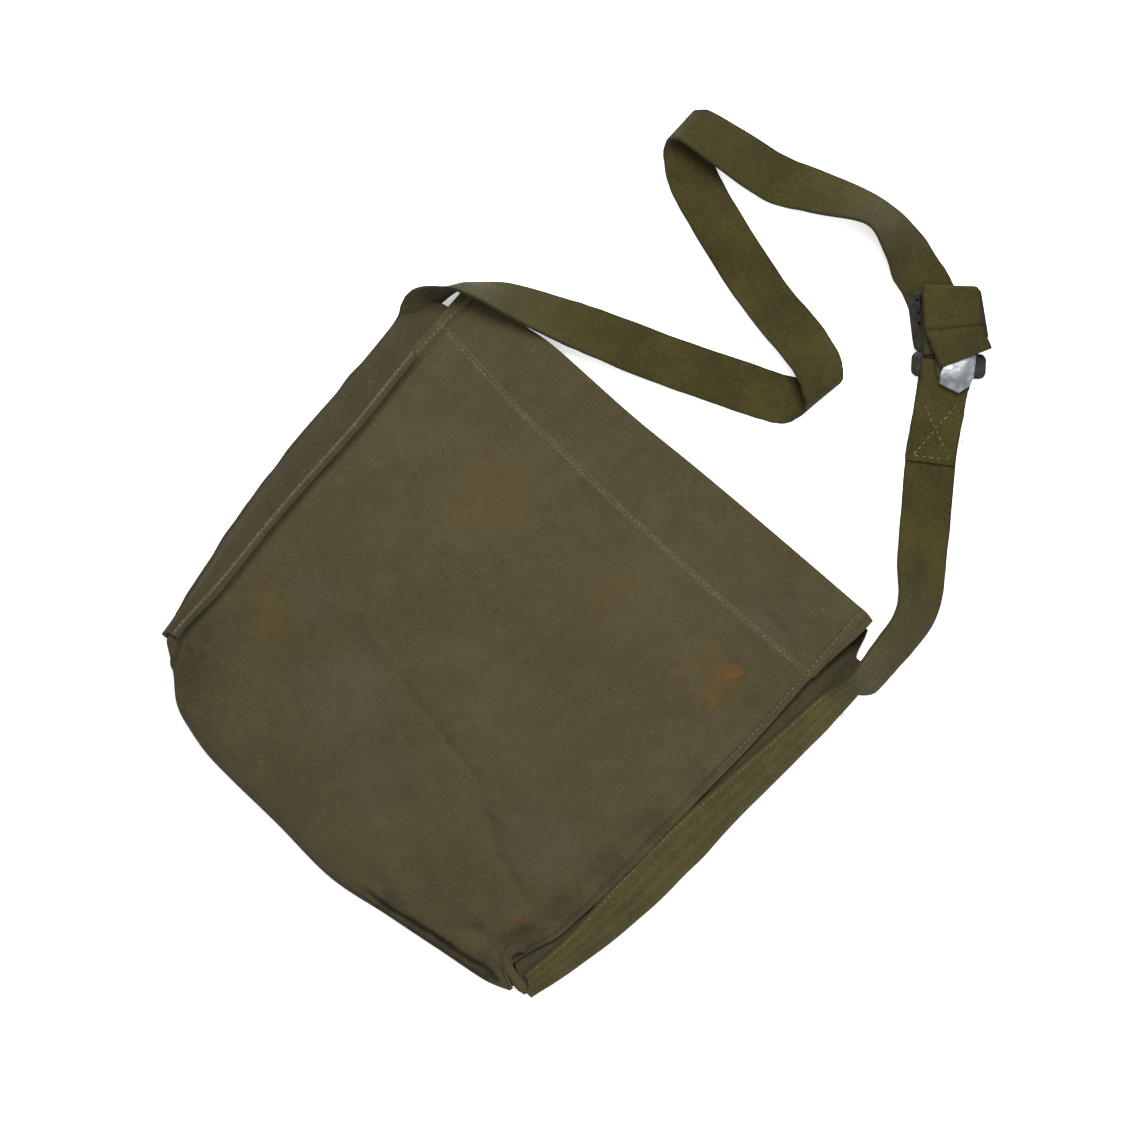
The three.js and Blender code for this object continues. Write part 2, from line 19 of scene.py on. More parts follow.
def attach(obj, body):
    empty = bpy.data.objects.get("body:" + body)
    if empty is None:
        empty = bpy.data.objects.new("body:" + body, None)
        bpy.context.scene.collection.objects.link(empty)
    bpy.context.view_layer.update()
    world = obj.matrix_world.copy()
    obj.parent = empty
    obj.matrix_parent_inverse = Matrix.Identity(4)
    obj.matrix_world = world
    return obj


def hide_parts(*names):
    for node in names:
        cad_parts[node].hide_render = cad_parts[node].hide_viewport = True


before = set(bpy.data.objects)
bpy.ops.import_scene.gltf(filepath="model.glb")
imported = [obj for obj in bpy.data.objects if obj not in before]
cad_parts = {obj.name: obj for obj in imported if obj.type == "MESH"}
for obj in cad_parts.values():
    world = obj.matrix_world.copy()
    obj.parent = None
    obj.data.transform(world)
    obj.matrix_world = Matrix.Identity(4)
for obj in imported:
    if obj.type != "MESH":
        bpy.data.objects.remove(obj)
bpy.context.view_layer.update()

log = logging.getLogger("field_bag")

MM = 0.001
CANVAS = 1.2
HEM_CANVAS = 2.4
WEBBING_WIDTH = 33.0
WEBBING = 1.8
GAP = 0.3
CROWN = 7.0
BOTTOM_ROUND = 8.5
BACK_MOUTH_DROP = 6.0
UNDER_LAYER = WEBBING + 2 * GAP + CANVAS / 2
BACK_LAP = HEM_CANVAS + GAP + CANVAS / 2
LAP = 8.0
TUCK = 8.0
TUCK_DROP = 3.0
EDGE_DROP = 1.0
RIGHT_ROLL = 3.0
LEFT_ALLOWANCE = 2.5
LEFT_HEIGHT = 10.5
RIGHT_HEIGHT = 13.0
SEWN_GAP = 0.5
CANVAS_ROUND = 0.35
WEBBING_ROUND = 0.5
PIXEL = 0.655
PIXELS = 1125
BODY_FLAT = (0.336, 0.72)
HEM_SHARES = (0.012, 0.25, 0.5, 0.75, 0.985)
SEAM_HEIGHTS = (-136, -76, -16, 44, 104)
SHARP_STEEL = math.radians(35)

Place = Callable[[float, float], Vector]
Colour = tuple[float, float, float, float]


class Side(Enum):
    """The two sides of the bag as seen from above."""

    LEFT = -1
    RIGHT = 1


class Slot(Enum):
    """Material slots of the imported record."""

    CANVAS = "canvas"
    WEBBING = "webbing"
    BLACK_STEEL = "black_steel"
    BRIGHT_STEEL = "bright_steel"


def table(kind: Callable[..., tuple], *rows: tuple[float, ...]) -> tuple:
    """Make the named rows of a table."""
    return tuple(kind(*row) for row in rows)


class SeamRow(NamedTuple):
    """Stitch lines of the side seams and edges of the collapsed gussets at one height."""

    y: float
    left: float
    right: float
    left_edge: float
    right_edge: float
    back_left: float
    back_right: float


SEAMS = table(
    SeamRow,
    (-180, -175, 123, -185, 148, -154, 136), (-165, -175, 125, -185.5, 153.5, -154, 137.5),
    (-150, -175.5, 130.5, -186, 158.3, -154, 139.5), (-137, -180, 136.5, -186.5, 162, -154, 141),
    (-117, -179.2, 140, -189, 167.4, -153.6, 143.7), (-98, -177, 142.6, -191.3, 171.3, -153, 146.2),
    (-45, -176.6, 148, -195.5, 179, -152, 152), (0, -174.5, 152.5, -196.5, 182.5, -152, 157),
    (45, -171.5, 157, -195, 188, -152, 161), (100, -171, 160, -193, 193.5, -152, 164),
    (155, -168, 163, -190, 194, -152, 163),
)


class PanelRow(NamedTuple):
    """Mouth edge, hem line and bottom fold of the front at one share across it."""

    across: float
    top: float
    hem: float
    bottom: float


PANEL = table(
    PanelRow,
    (0, 155, 131, -148), (0.04, 158, 128, -161.5), (0.08, 161, 125.5, -174), (0.13, 163, 122.5, -180.5),
    (0.2, 164.5, 119, -186), (0.4, 160.5, 111, -192.4), (0.56, 159.5, 107, -198.3),
    (0.7, 158, 103.5, -194.8), (0.85, 156, 101, -191), (0.95, 154.5, 99, -188.5),
    (0.98, 154.1, 99, -186), (1, 152.4, 99, -184),
)


class WebbingRow(NamedTuple):
    """Inner edge of the webbing sewn on the right gusset."""

    y: float
    inner: float


SEWN_EDGE = table(
    WebbingRow,
    (-190, 133), (-168, 136.6), (-129, 144.2), (-81, 147.2), (-60, 148.6), (0, 159), (45, 167.2),
    (92, 176.4),
)


class FullRow(NamedTuple):
    """How full the bag stands at one share down from its mouth."""

    down: float
    share: float


FULLNESS = table(
    FullRow,
    (0, 0.45), (0.3, 0.8), (0.6, 1), (0.85, 0.85), (1, 0.55),
)


class Crease(NamedTuple):
    """A crease along a line of the front: positive depth is a groove, negative a ridge."""

    x: float
    y: float
    to_x: float
    to_y: float
    width: float
    depth: float


CREASES = table(
    Crease,
    (-32, -70, 64, -108, 12, 1.0), (64, -108, 118, -134, 11, 1.2), (-160, -112, -143, -162, 15, 4.2),
    (118, -168, 126, -150, 9, 1.8), (-60, 60, 70, 40, 26, 1.2), (-126, -63, -94, -50, 3.5, -1.0),
    (-94, -50, -72, -58, 3.2, -1.3), (-72, -58, -49, -65, 3, -1.2), (-49, -66, -33, -71, 3, 1.2),
    (-33, -71, 6, -82, 2.8, 1.8), (6, -82, 31, -87, 3, 1.6), (31, -87, 55, -104, 3.2, 1.3),
    (55, -104, 77, -119, 3, 1.6), (77, -119, 96, -126, 3, 1.8), (96, -126, 120, -136, 3, 1.6),
    (20, -179, 36, -182, 5, 2.2), (72, -182, 95, -165, 4, 1.5), (95, -165, 112, -165, 3.5, 1.5),
    (112, -165, 117, -174, 3, 1.5), (88, -178, 110, -172, 5, -1.2), (34, -80, 62, -98, 4, -0.6),
    (-134, -167, -98, -172, 3, -0.7), (-128, -172, -100, -178, 4, 0.8),
    (-166, -117, -152, -158, 7, 1.5), (92, 108, 132, 112, 4, 1.4), (100, 118, 140, 106, 3, 1.5),
    (110, 92, 146, 86, 5, 1.2), (120, 130, 152, 118, 3.5, 1.4), (104, 84, 128, 80, 3, -0.6),
)


class StrapRow(NamedTuple):
    """A cross-line of a strap: its middle, bearing and lift of its left edge, width and cupping."""

    x: float
    y: float
    z: float
    side: float
    lift: float = 0.0
    span: float = WEBBING_WIDTH
    cup: float = 0.0


LONG_RUN = table(
    StrapRow,
    (-171.5, -126, 0.9, 180), (-175.5, -91, 0.9, 180), (-180, 0, 0.9, 180), (-178, 60, 0.9, 180),
    (-177, 112, 0.9, 180), (-181.5, 126, 7, 179, 22), (-184.5, 137.5, 15.3, 172, 60),
    (-177.4, 147.8, 17.3, 115, 82, WEBBING_WIDTH, 3), (-170.2, 157.5, 17.1, 287, 77, WEBBING_WIDTH, 3),
    (-158.3, 163.9, 15.8, 300, 64, WEBBING_WIDTH, 1.5), (-141.6, 170.6, 14, 296, 48),
    (-108.7, 180.9, 9.6, 292, 30), (-85.9, 188.2, 7, 291, 20), (-40.7, 202, 3.4, 289, 8),
    (5, 217.9, 0.9, 288), (32, 227.5, 0.9, 283), (47.5, 235, 0.9, 272, 0, 34),
    (53.5, 240.5, 2.7, 263, 0, 31), (56.5, 246, 7, 258, 0, 29), (55.5, 250.5, 11.2, 255, 4, 30),
    (51, 254.6, 13, 252, 8, 32), (42.5, 260.5, 13.4, 254, 10), (24, 267, 11.2, 258, 4),
    (-9.1, 274.4, 6.6, 251, -14), (-45.7, 286.4, 2.5, 252, -5), (-87.2, 302.4, 0.9, 249),
    (-104, 311.5, 0.9, 246), (-118, 323.8, 0.9, 258, 0, 36), (-122.6, 326.6, 2.9, 263, 4, 31),
    (-125, 329, 7.4, 266, 10, 25), (-122.6, 331.6, 11.8, 266, 18, 27),
    (-115.5, 334.4, 13.6, 267, 24, 31), (-90, 336.8, 11, 273, 20), (-54.8, 340.7, 5, 283, 10),
    (-28.3, 350, 8.5, 288, 26), (9.1, 362.4, 14.5, 272, 48), (36.5, 357.6, 10.5, 253, 30),
    (52, 351, 4.4, 247, 10),
)

SHORT_RUN = table(
    StrapRow,
    (193.5, 119.5, 14, 180, 50), (193.6, 137, 13.2, 180, 45), (193.6, 164.4, 11.6, 184, 38),
    (188.5, 182.4, 8.4, 204, 26), (174.5, 203, 4.2, 213, 11), (160.8, 224.7, 0.9, 211),
    (138.4, 259, 0.9, 210), (119.7, 292.3, 0.9, 211), (107.6, 313.9, 0.9, 214.5),
    (106.6, 315.4, 1.6, 214.5), (106.2, 316, 3.35, 214.5), (106.6, 315.4, 5.1, 214.5),
    (107.6, 313.9, 5.8, 214.5), (113.4, 305.5, 5.8, 214), (117, 297.5, 4.6, 211), (124, 285, 3.1, 210),
    (133, 267, 3.1, 210), (138.8, 256.8, 3.1, 210.5),
)


class BuckleRow(NamedTuple):
    """A cross-line of the strap at the buckle, along and across the buckle's own axes."""

    along: float
    across: float
    z: float
    side: float
    span: float = WEBBING_WIDTH


BUCKLE_RUN = table(
    BuckleRow,
    (-24, -9.5, 1.6, 240), (0, -3, 0.95, 230), (15, 0, 0.95, 224), (18.9, 0, 1.75, 224),
    (19.8, 0, 3.7, 224), (18.9, 0, 5.65, 224), (16, 0, 6.45, 224), (-17, 2.4, 6.35, 221),
    (-21.2, 3.8, 7.15, 218), (-22.4, 4.6, 9.1, 216.5), (-21.4, 5, 11.05, 216.3, 34.5),
    (-17.5, 4.6, 11.9, 218, 37), (-6, 4.3, 12.5, 221, 37.5), (2, 4.0, 12.7, 223, 37.5),
    (5.2, 4.2, 10.9, 224, 37.5), (8.6, 5, 13.3, 227, 37), (20.5, 8.8, 13.7, 235, 36),
    (24.2, 9.9, 12.5, 238, 36), (21, 9.2, 11.3, 235, 34.5), (13, 8.2, 11.1, 224, 33),
    (11.6, 7.6, 9.9, 217, 31), (13, 6.5, 8.7, 216, 30), (26, 3.6, 8.6, 219, 27),
    (36, 2.2, 8.6, 222, 24),
)


def lerp(a: float, b: float, share: float) -> float:
    """Mix two numbers.

    Args:
        a: Value at share 0.
        b: Value at share 1.
        share: Place between them.

    Returns:
        The mixed number.
    """
    return a + (b - a) * share


def clamp(value: float, low: float = 0.0, high: float = 1.0) -> float:
    """Keep a number between two limits.

    Args:
        value: The number.
        low: Lower limit.
        high: Upper limit.

    Returns:
        The number, or the limit that it passes.
    """
    return min(max(value, low), high)


def smoothstep(value: float, low: float, high: float) -> float:
    """Ease from 0 to 1 between two limits.

    Args:
        value: Where to measure.
        low: Where the step starts.
        high: Where the step ends.

    Returns:
        The eased share.
    """
    share = clamp((value - low) / (high - low))
    return share * share * (3 - 2 * share)


def bell(value: float, middle: float, width: float) -> float:
    """Give a bell-shaped bump.

    Args:
        value: Where to read it.
        middle: Where it is highest.
        width: Its half width.

    Returns:
        The bump, 1 at its middle.
    """
    return math.exp(-(((value - middle) / width) ** 2))


def column(rows: Sequence[tuple], name: str) -> Callable[[float], float]:
    """Make a smooth function of one column of a table over its first column.

    Args:
        rows: Rows of the table, sorted by their first column.
        name: The column that the function gives.

    Returns:
        The function, held at its end values beyond the table.
    """
    keys = [row[0] for row in rows]
    values = [getattr(row, name) for row in rows]
    last = len(rows) - 1
    slopes = []
    for i in range(len(rows)):
        before, after = max(i - 1, 0), min(i + 1, last)
        slopes.append((values[after] - values[before]) / (keys[after] - keys[before]))

    def value(at: float) -> float:
        """Read the curve.

        Args:
            at: Where in the first column.

        Returns:
            The value there.
        """
        i = int(clamp(bisect_right(keys, at) - 1, 0, last - 1))
        step = keys[i + 1] - keys[i]
        t = clamp((at - keys[i]) / step)
        rise = values[i + 1] - values[i]
        curve = (1 - t) * slopes[i] * step - t * slopes[i + 1] * step
        return values[i] + rise * t + t * (1 - t) * (curve - (1 - 2 * t) * rise)

    return value


def hermite(start: Vector, end: Vector, leaving: Vector, arriving: Vector, share: float) -> Vector:
    """Join two points by a curve with given directions at its ends.

    Args:
        start: First point.
        end: Last point.
        leaving: Direction at the first point, as long as the curve.
        arriving: Direction at the last point, as long as the curve.
        share: Share along the curve.

    Returns:
        The point there.
    """
    rest = 1 - share
    point = start * (rest * rest * (1 + 2 * share)) + end * (share * share * (3 - 2 * share))
    return point + leaving * (share * rest * rest) - arriving * (share * share * rest)


def spline(points: Sequence[Vector], power: float, steps: int) -> list[Vector]:
    """Sample a Catmull-Rom curve through points.

    Args:
        points: Points that the curve passes.
        power: How far the spacing of the points counts: 0 uniform, 0.5 centripetal.
        steps: Samples from each point to the next.

    Returns:
        The sampled points, ends included.
    """
    ends = [2 * points[0] - points[1], *points, 2 * points[-1] - points[-2]]
    samples = []
    for p0, p1, p2, p3 in zip(ends, ends[1:], ends[2:], ends[3:]):
        d0, d1, d2 = ((b - a).length ** power or 1.0 for a, b in ((p0, p1), (p1, p2), (p2, p3)))
        start = ((p1 - p0) / d0 - (p2 - p0) / (d0 + d1) + (p2 - p1) / d1) * d1
        end = ((p2 - p1) / d1 - (p3 - p1) / (d1 + d2) + (p3 - p2) / d2) * d1
        for k in range(steps):
            t = k / steps
            t2, t3 = t * t, t * t * t
            first, last = 2 * t3 - 3 * t2 + 1, 3 * t2 - 2 * t3
            leaving, arriving = t3 - 2 * t2 + t, t3 - t2
            samples.append(p1 * first + start * leaving + p2 * last + end * arriving)
    samples.append(points[-1].copy())
    return samples


def at_length(line: Sequence[Vector], lengths: Sequence[float], length: float) -> Vector:
    """Find a point of a polyline by the distance along it.

    Args:
        line: Points of the polyline.
        lengths: Distance along it of each point.
        length: Distance to find.

    Returns:
        The point.
    """
    i = int(clamp(bisect_right(lengths, length) - 1, 0, len(line) - 2))
    step = lengths[i + 1] - lengths[i]
    return line[i].lerp(line[i + 1], clamp((length - lengths[i]) / step if step else 0.0))


def measured(line: Sequence[Vector]) -> list[float]:
    """Measure a polyline.

    Args:
        line: Points of the polyline.

    Returns:
        The distance along it of each point.
    """
    lengths = [0.0]
    for a, b in zip(line, line[1:]):
        lengths.append(lengths[-1] + (b - a).length)
    return lengths


def between(level: float, count: int) -> tuple[int, float]:
    """Split a place in a row of values into the value before it and the share to the next.

    Args:
        level: The place, counted in values.
        count: Number of values.

    Returns:
        Number of the value before the place, and the share.
    """
    level = clamp(level, 0, count - 1.001)
    i = int(level)
    return i, level - i


class BagForm:
    """Shape of the bag as it lies: where the canvas of its front and gussets is."""

    CREASE_REACH = 3

    def __init__(self) -> None:
        """Read the tables into smooth functions and sample both gussets."""
        self.seam = {name: column(SEAMS, name) for name in SeamRow._fields[1:]}
        self.panel = {name: column(PANEL, name) for name in PanelRow._fields[1:]}
        self.fullness = column(FULLNESS, "share")
        self.sections = {side: SectionGrid(self, side) for side in Side}

    def front_x(self, across: float, y: float) -> float:
        """Find where a share across the front falls at one height.

        Args:
            across: Share from the left edge to the right one.
            y: Height.

        Returns:
            X in millimetres.
        """
        return lerp(self.seam["left"](y) - LEFT_ALLOWANCE, self.right_edge(y), across)

    def right_edge(self, y: float) -> float:
        """Find the front's right edge, which is wider along the hem.

        Args:
            y: Height.

        Returns:
            X in millimetres.
        """
        allowance = lerp(1.8, 4.2, smoothstep(y, -135, -50))
        return self.seam["right"](y) + allowance + self.hem_allowance(y)

    def hem_allowance(self, y: float) -> float:
        """Find how much wider the right seam's allowance is along the hem.

        Args:
            y: Height.

        Returns:
            Millimetres.
        """
        return 1.4 * smoothstep(y, 97.5, 99.5) + 4.6 * smoothstep(y, 100, 152)

    def across_at(self, x: float, y: float) -> float:
        """Find the share across the front of a place.

        Args:
            x: Place across.
            y: Height.

        Returns:
            The share, 0 at the left edge and 1 at the right one.
        """
        left = self.seam["left"](y) - LEFT_ALLOWANCE
        return (x - left) / (self.right_edge(y) - left)

    def plain_height(self, across: float, y: float) -> float:
        """Give the smooth height of the front, with no creases.

        Args:
            across: Share from the left edge to the right one.
            y: Height.

        Returns:
            Z in millimetres.
        """
        top = self.panel["top"](across)
        down = clamp((top - y) / (top - self.panel["bottom"](across)))
        bulge = max(math.sin(math.pi * clamp(across)), 0.0) ** 0.7 * self.fullness(down) * CROWN
        return lerp(LEFT_HEIGHT, RIGHT_HEIGHT, across) + bulge

    def front_height(self, across: float, y: float) -> float:
        """Give the height of the front's outer face, with its creases, hem and small waves.

        Args:
            across: Share from the left edge to the right one.
            y: Height.

        Returns:
            Z in millimetres.
        """
        x = self.front_x(across, y)
        calm = smoothstep(min(across, 1 - across), 0.02, 0.1)
        z = self.plain_height(across, y) - self.crease_depth(x, y) * calm
        wave = noise.noise(Vector((x / 62, y / 62, 3.1))) * 1.1
        wave += noise.noise(Vector((x / 26, y / 26, 7.7))) * 0.35
        z += wave * calm
        return z + self.hem_relief(across, x, y) + self.seam_relief(x, y)

    def seam_relief(self, x: float, y: float) -> float:
        """Give the relief along both side seams: raised bands, stitch grooves and the dips beside them.

        Args:
            x: Place across.
            y: Height.

        Returns:
            Millimetres to add to the front's height.
        """
        off = x - self.seam["right"](y)
        ridge = 0.8 * bell(off, 3.4, 1.6)
        groove = lerp(1.9, 0.8, smoothstep(y, 30, 90)) * bell(off, 0, 1.5)
        dip = lerp(2.6, 1.6, smoothstep(y, -110, -40)) * bell(off, -10, 6)
        dip *= 1 - smoothstep(y, 60, 100)
        off = x - self.seam["left"](y)
        hemmed = smoothstep(y, 101, 107)
        band = 1.5 * (1 - smoothstep(off, 4.4, 5.4)) - 1.3 * bell(off, 6.3, 1.2)
        return ridge - groove - dip + lerp(-3.2 * bell(off, 6, 1.5), band, hemmed)

    def hem_relief(self, across: float, x: float, y: float) -> float:
        """Give the relief of the hem: the doubled cloth stands up and its stitches pull a groove.

        Args:
            across: Share from the left edge to the right one.
            x: Place across.
            y: Height.

        Returns:
            Millimetres to add to the front's height.
        """
        off = y - self.panel["hem"](across)
        pucker = 0.75 + 0.35 * noise.noise(Vector((x / 5, 0, 1.5)))
        groove = 0.55 * pucker * bell(off, 0, 1.9)
        return 0.5 * smoothstep(off, -2.5, 1) - groove

    def crease_depth(self, x: float, y: float) -> float:
        """Add up the creases at a place.

        Args:
            x: Place across.
            y: Height.

        Returns:
            Depth in millimetres, less than 0 on a ridge.
        """
        depth = 0.0
        for crease in CREASES:
            run_x, run_y = crease.to_x - crease.x, crease.to_y - crease.y
            off_x, off_y = x - crease.x, y - crease.y
            share = clamp((off_x * run_x + off_y * run_y) / (run_x * run_x + run_y * run_y))
            gap = math.hypot(off_x - share * run_x, off_y - share * run_y) / crease.width
            if gap < self.CREASE_REACH:
                depth += crease.depth * math.exp(-gap * gap)
        return depth

    def section(self, side: Side, y: float) -> list[Vector]:
        """Give the points of a collapsed gusset's section, from the front seam round to the back.

        Args:
            side: Which gusset.
            y: Height of the section.

        Returns:
            Points of the section's mid line.
        """
        if side is Side.LEFT:
            over = self.plain_height(0.03, y) + GAP + CANVAS / 2
            stitch = self.seam["left"](y)
            edge = self.seam["left_edge"](y) + CANVAS / 2 + 1.0 * noise.noise(Vector((y / 19, 8.1, 0)))
            back = max(self.seam["back_left"](y), edge + 22)
            tuck = smoothstep(y, 101, 109)
            lap = over + lerp(1.3, -1.6, tuck)
            points = (
                (stitch + lerp(4.4, -1, tuck), lap), (stitch - LAP / 2, over - tuck),
                ((stitch + edge) / 2 - 2, over - 1.4),
                (edge + 3, 7.4), (edge, 5), (edge + 3, UNDER_LAYER), (edge + 14, UNDER_LAYER),
                (back - 5, UNDER_LAYER), (back + LAP, BACK_LAP),
            )
        else:
            below = RIGHT_HEIGHT - HEM_CANVAS - 2 * GAP - CANVAS / 2
            inside = smoothstep(y, 106, 122)
            low = lerp(below - TUCK_DROP, 4.2, inside)
            high = low - lerp(EDGE_DROP, 0, inside)
            stitch = self.seam["right"](y)
            edge = self.seam["right_edge"](y) - CANVAS / 2 + 0.7 * noise.noise(Vector((y / 23, 2.6, 0)))
            back = self.seam["back_right"](y)
            roll = RIGHT_ROLL * (1 - smoothstep(y, 50, 96))
            ridge = max(stitch + 6.5, self.right_edge(y) + 3)
            points = (
                (stitch + 1, below), (stitch - TUCK + 3, below), (stitch - TUCK, (below + low) / 2),
                (stitch - TUCK + 3, low), (ridge, low + roll), ((ridge + edge) / 2, (low + high + roll) / 2),
                (edge - 4, high),
                (edge, (high + UNDER_LAYER) / 2), (edge - 3, UNDER_LAYER), (edge - 14, UNDER_LAYER),
                (min(back + 4, edge - 16), UNDER_LAYER), (min(back - LAP, edge - 22), BACK_LAP),
            )
        return [Vector((px, y, pz)) for px, pz in points]


class SectionGrid:
    """A gusset sampled on a grid, by height and by share across, with its outer edge at a fixed share."""

    LOW, HIGH, STEP = -190.0, 162.0, 4.0
    SHARES = 120
    HALVINGS = 14
    EDGE = {Side.LEFT: (4, 0.4), Side.RIGHT: (7, 0.5)}

    def __init__(self, form: BagForm, side: Side) -> None:
        """Sample the gusset.

        Args:
            form: The bag that the gusset belongs to.
            side: Which gusset.
        """
        self.side = side
        edge_point, self.edge_share = self.EDGE[side]
        steps = 24
        self.rows: list[list[Vector]] = []
        self.lengths: list[tuple[float, float]] = []
        for i in range(int((self.HIGH - self.LOW) / self.STEP) + 1):
            line = spline(form.section(side, self.LOW + i * self.STEP), 0.5, steps)
            lengths = measured(line)
            edge = lengths[steps * edge_point]
            row = []
            for k in range(self.SHARES + 1):
                share = k / self.SHARES
                if share < self.edge_share:
                    length = edge * share / self.edge_share
                else:
                    length = lerp(edge, lengths[-1], (share - self.edge_share) / (1 - self.edge_share))
                row.append(at_length(line, lengths, length))
            self.rows.append(row)
            self.lengths.append((edge, lengths[-1] - edge))

    def length(self, y: float, part: int) -> float:
        """Measure the gusset's section on one side of its outer edge.

        Args:
            y: Height.
            part: 0 for the upper part, 1 for the lower one.

        Returns:
            Its length in millimetres.
        """
        i, up = between((y - self.LOW) / self.STEP, len(self.rows))
        return lerp(self.lengths[i][part], self.lengths[i + 1][part], up)

    def on(self, share: float, y: float) -> Vector:
        """Find a point of the gusset's mid line.

        Args:
            share: Share from the front seam to the back.
            y: Height.

        Returns:
            The point.
        """
        place = clamp(share) * self.SHARES
        k = min(int(place), self.SHARES - 1)
        i, up = between((y - self.LOW) / self.STEP, len(self.rows))
        low = self.rows[i][k].lerp(self.rows[i][k + 1], place - k)
        high = self.rows[i + 1][k].lerp(self.rows[i + 1][k + 1], place - k)
        point = low.lerp(high, up)
        point.y = y
        return point

    def share_at(self, x: float, y: float, low: float, high: float) -> float:
        """Find the share of the upper part that lies at a place across, by halving a range.

        Args:
            x: The place.
            y: Height.
            low: Start of the range of shares.
            high: End of the range.

        Returns:
            The share.
        """
        for _ in range(self.HALVINGS):
            share = (low + high) / 2
            if (self.on(share, y).x - x) * self.side.value < 0:
                low = share
            else:
                high = share
        return low

    def off(self, share: float, y: float, distance: float) -> Vector:
        """Find a point moved off the mid line, outwards from the bag.

        Args:
            share: Share from the front seam to the back.
            y: Height.
            distance: How far to move it.

        Returns:
            The point.
        """
        step = 1 / self.SHARES
        tangent = self.on(share + step, y) - self.on(share - step, y)
        normal = Vector((-tangent.z, 0, tangent.x)).normalized() * self.side.value
        return self.on(share, y) + normal * distance


class Ribbon:
    """Mid surface of a free strap through its cross-lines."""

    STEPS = 12

    def __init__(self, rows: Sequence[StrapRow]) -> None:
        """Lay the strap.

        Args:
            rows: Its cross-lines in order.
        """
        halves = []
        for row in rows:
            bearing, lift = math.radians(row.side), math.radians(row.lift)
            flat = math.cos(lift)
            aside = Vector((math.cos(bearing) * flat, math.sin(bearing) * flat, math.sin(lift)))
            halves.append(aside * row.span / 2)
        self.middle = spline([Vector((row.x, row.y, row.z)) for row in rows], 0.0, self.STEPS)
        self.half = spline(halves, 0.0, self.STEPS)
        self.cup: list[float] = []
        for i, half in enumerate(self.half):
            k, share = between(i / self.STEPS, len(rows))
            frayed = 1 + 0.022 * noise.noise(Vector((i / 4, 5.3, len(rows))))
            half.length = lerp(rows[k].span, rows[k + 1].span, share) / 2 * frayed
            self.cup.append(lerp(rows[k].cup, rows[k + 1].cup, share))
        self.lengths = measured(self.middle)

    def point(self, across: float, row: int) -> Vector:
        """Find a point of the strap.

        Args:
            across: Share from its left edge to its right one.
            row: Which sampled cross-line.

        Returns:
            The point, kept on or above the floor.
        """
        side = 1 - 2 * across
        point = self.middle[row] + self.half[row] * side
        if self.cup[row] > 0:
            ahead = self.middle[row + 1] - self.middle[row - 1]
            point += self.half[row].cross(ahead).normalized() * self.cup[row] * (1 - side * side)
        point.z = max(point.z, WEBBING / 2)
        return point


class Mesher:
    """Makes mesh objects of the scene."""

    @staticmethod
    def sheet(
        name: str,
        columns: int,
        rows: int,
        place: Place,
        size: tuple[float, float],
        warp: float = 0.0,
        run: Callable[[float], float] | None = None,
    ) -> bpy.types.Object:
        """Make a sheet from a grid whose vertices are placed one by one.

        Args:
            name: Name of the object.
            columns: Faces across.
            rows: Faces along.
            place: Gives a vertex in millimetres from its share across and along.
            size: Size in metres that the UV map gives the sheet.
            warp: How much closer the columns stand at the side edges.
            run: Gives the millimetres along the sheet of a share along it, if its rows are uneven.

        Returns:
            The sheet as an object, with its UV map.
        """
        bm = bmesh.new()
        bmesh.ops.create_grid(bm, x_segments=columns, y_segments=rows, size=0.5)
        uv_map = bm.loops.layers.uv.new("UVMap")
        shares = {}
        for vert in bm.verts:
            across = vert.co.x + 0.5
            shares[vert] = (across - warp * math.sin(2 * math.pi * across), vert.co.y + 0.5)
        for face in bm.faces:
            for loop in face.loops:
                across, along = shares[loop.vert]
                loop[uv_map].uv = (across * size[0], run(along) * MM if run else along * size[1])
        for vert, (across, along) in shares.items():
            vert.co = place(across, along) * MM
        return Mesher.made(name, bm)

    @staticmethod
    def made(name: str, bm: bmesh.types.BMesh) -> bpy.types.Object:
        """Turn a bmesh into a smooth object of the scene.

        Args:
            name: Name of the object.
            bm: The bmesh, freed here.

        Returns:
            The object.
        """
        mesh = bpy.data.meshes.new(name)
        bm.to_mesh(mesh)
        bm.free()
        mesh.shade_smooth()
        piece = bpy.data.objects.new(name, mesh)
        bpy.context.scene.collection.objects.link(piece)
        return piece

    @staticmethod
    def thicken(piece: bpy.types.Object, thickness: float, offset: float, round_by: float) -> None:
        """Give a sheet its thickness and round its cut edges.

        Args:
            piece: The sheet.
            thickness: Thickness in millimetres.
            offset: Where the sheet lies in its thickness: -1 outside, 0 in the middle.
            round_by: Size of the rounding in millimetres.
        """
        solid = piece.modifiers.new("Thickness", "SOLIDIFY")
        solid.thickness = thickness * MM
        solid.offset = offset
        bevel = piece.modifiers.new("Edges", "BEVEL")
        bevel.width = round_by * MM
        bevel.segments = 2
        bevel.limit_method = "ANGLE"
        bevel.angle_limit = math.radians(55)


class StainAndShade(NamedTuple):
    """A ragged round spot on the cloth, for stains and for painted shade: its place, radius and strength."""

    x: float
    y: float
    radius: float
    strength: float


class Streak(NamedTuple):
    """A straight painted line, for pale lines along stitches and for painted shade: its ends, how far off the
    line it lies, half its width and its strength.
    """

    x: float
    y: float
    to_x: float
    to_y: float
    off: float
    half: float
    strength: float


def lines_along(
    points: Sequence[tuple[float, float]], off: float, half: float, strength: float
) -> tuple[Streak, ...]:
    """Lay painted lines along a row of points, pale ones along the stitches and painted shade along folded
    edges.

    Args:
        points: The points in plan.
        off: How far off the row the line lies, on both sides.
        half: Half its width.
        strength: How much it shows.

    Returns:
        A line for each pair of neighbours.
    """
    return tuple(Streak(*start, *end, off, half, strength) for start, end in zip(points, points[1:]))


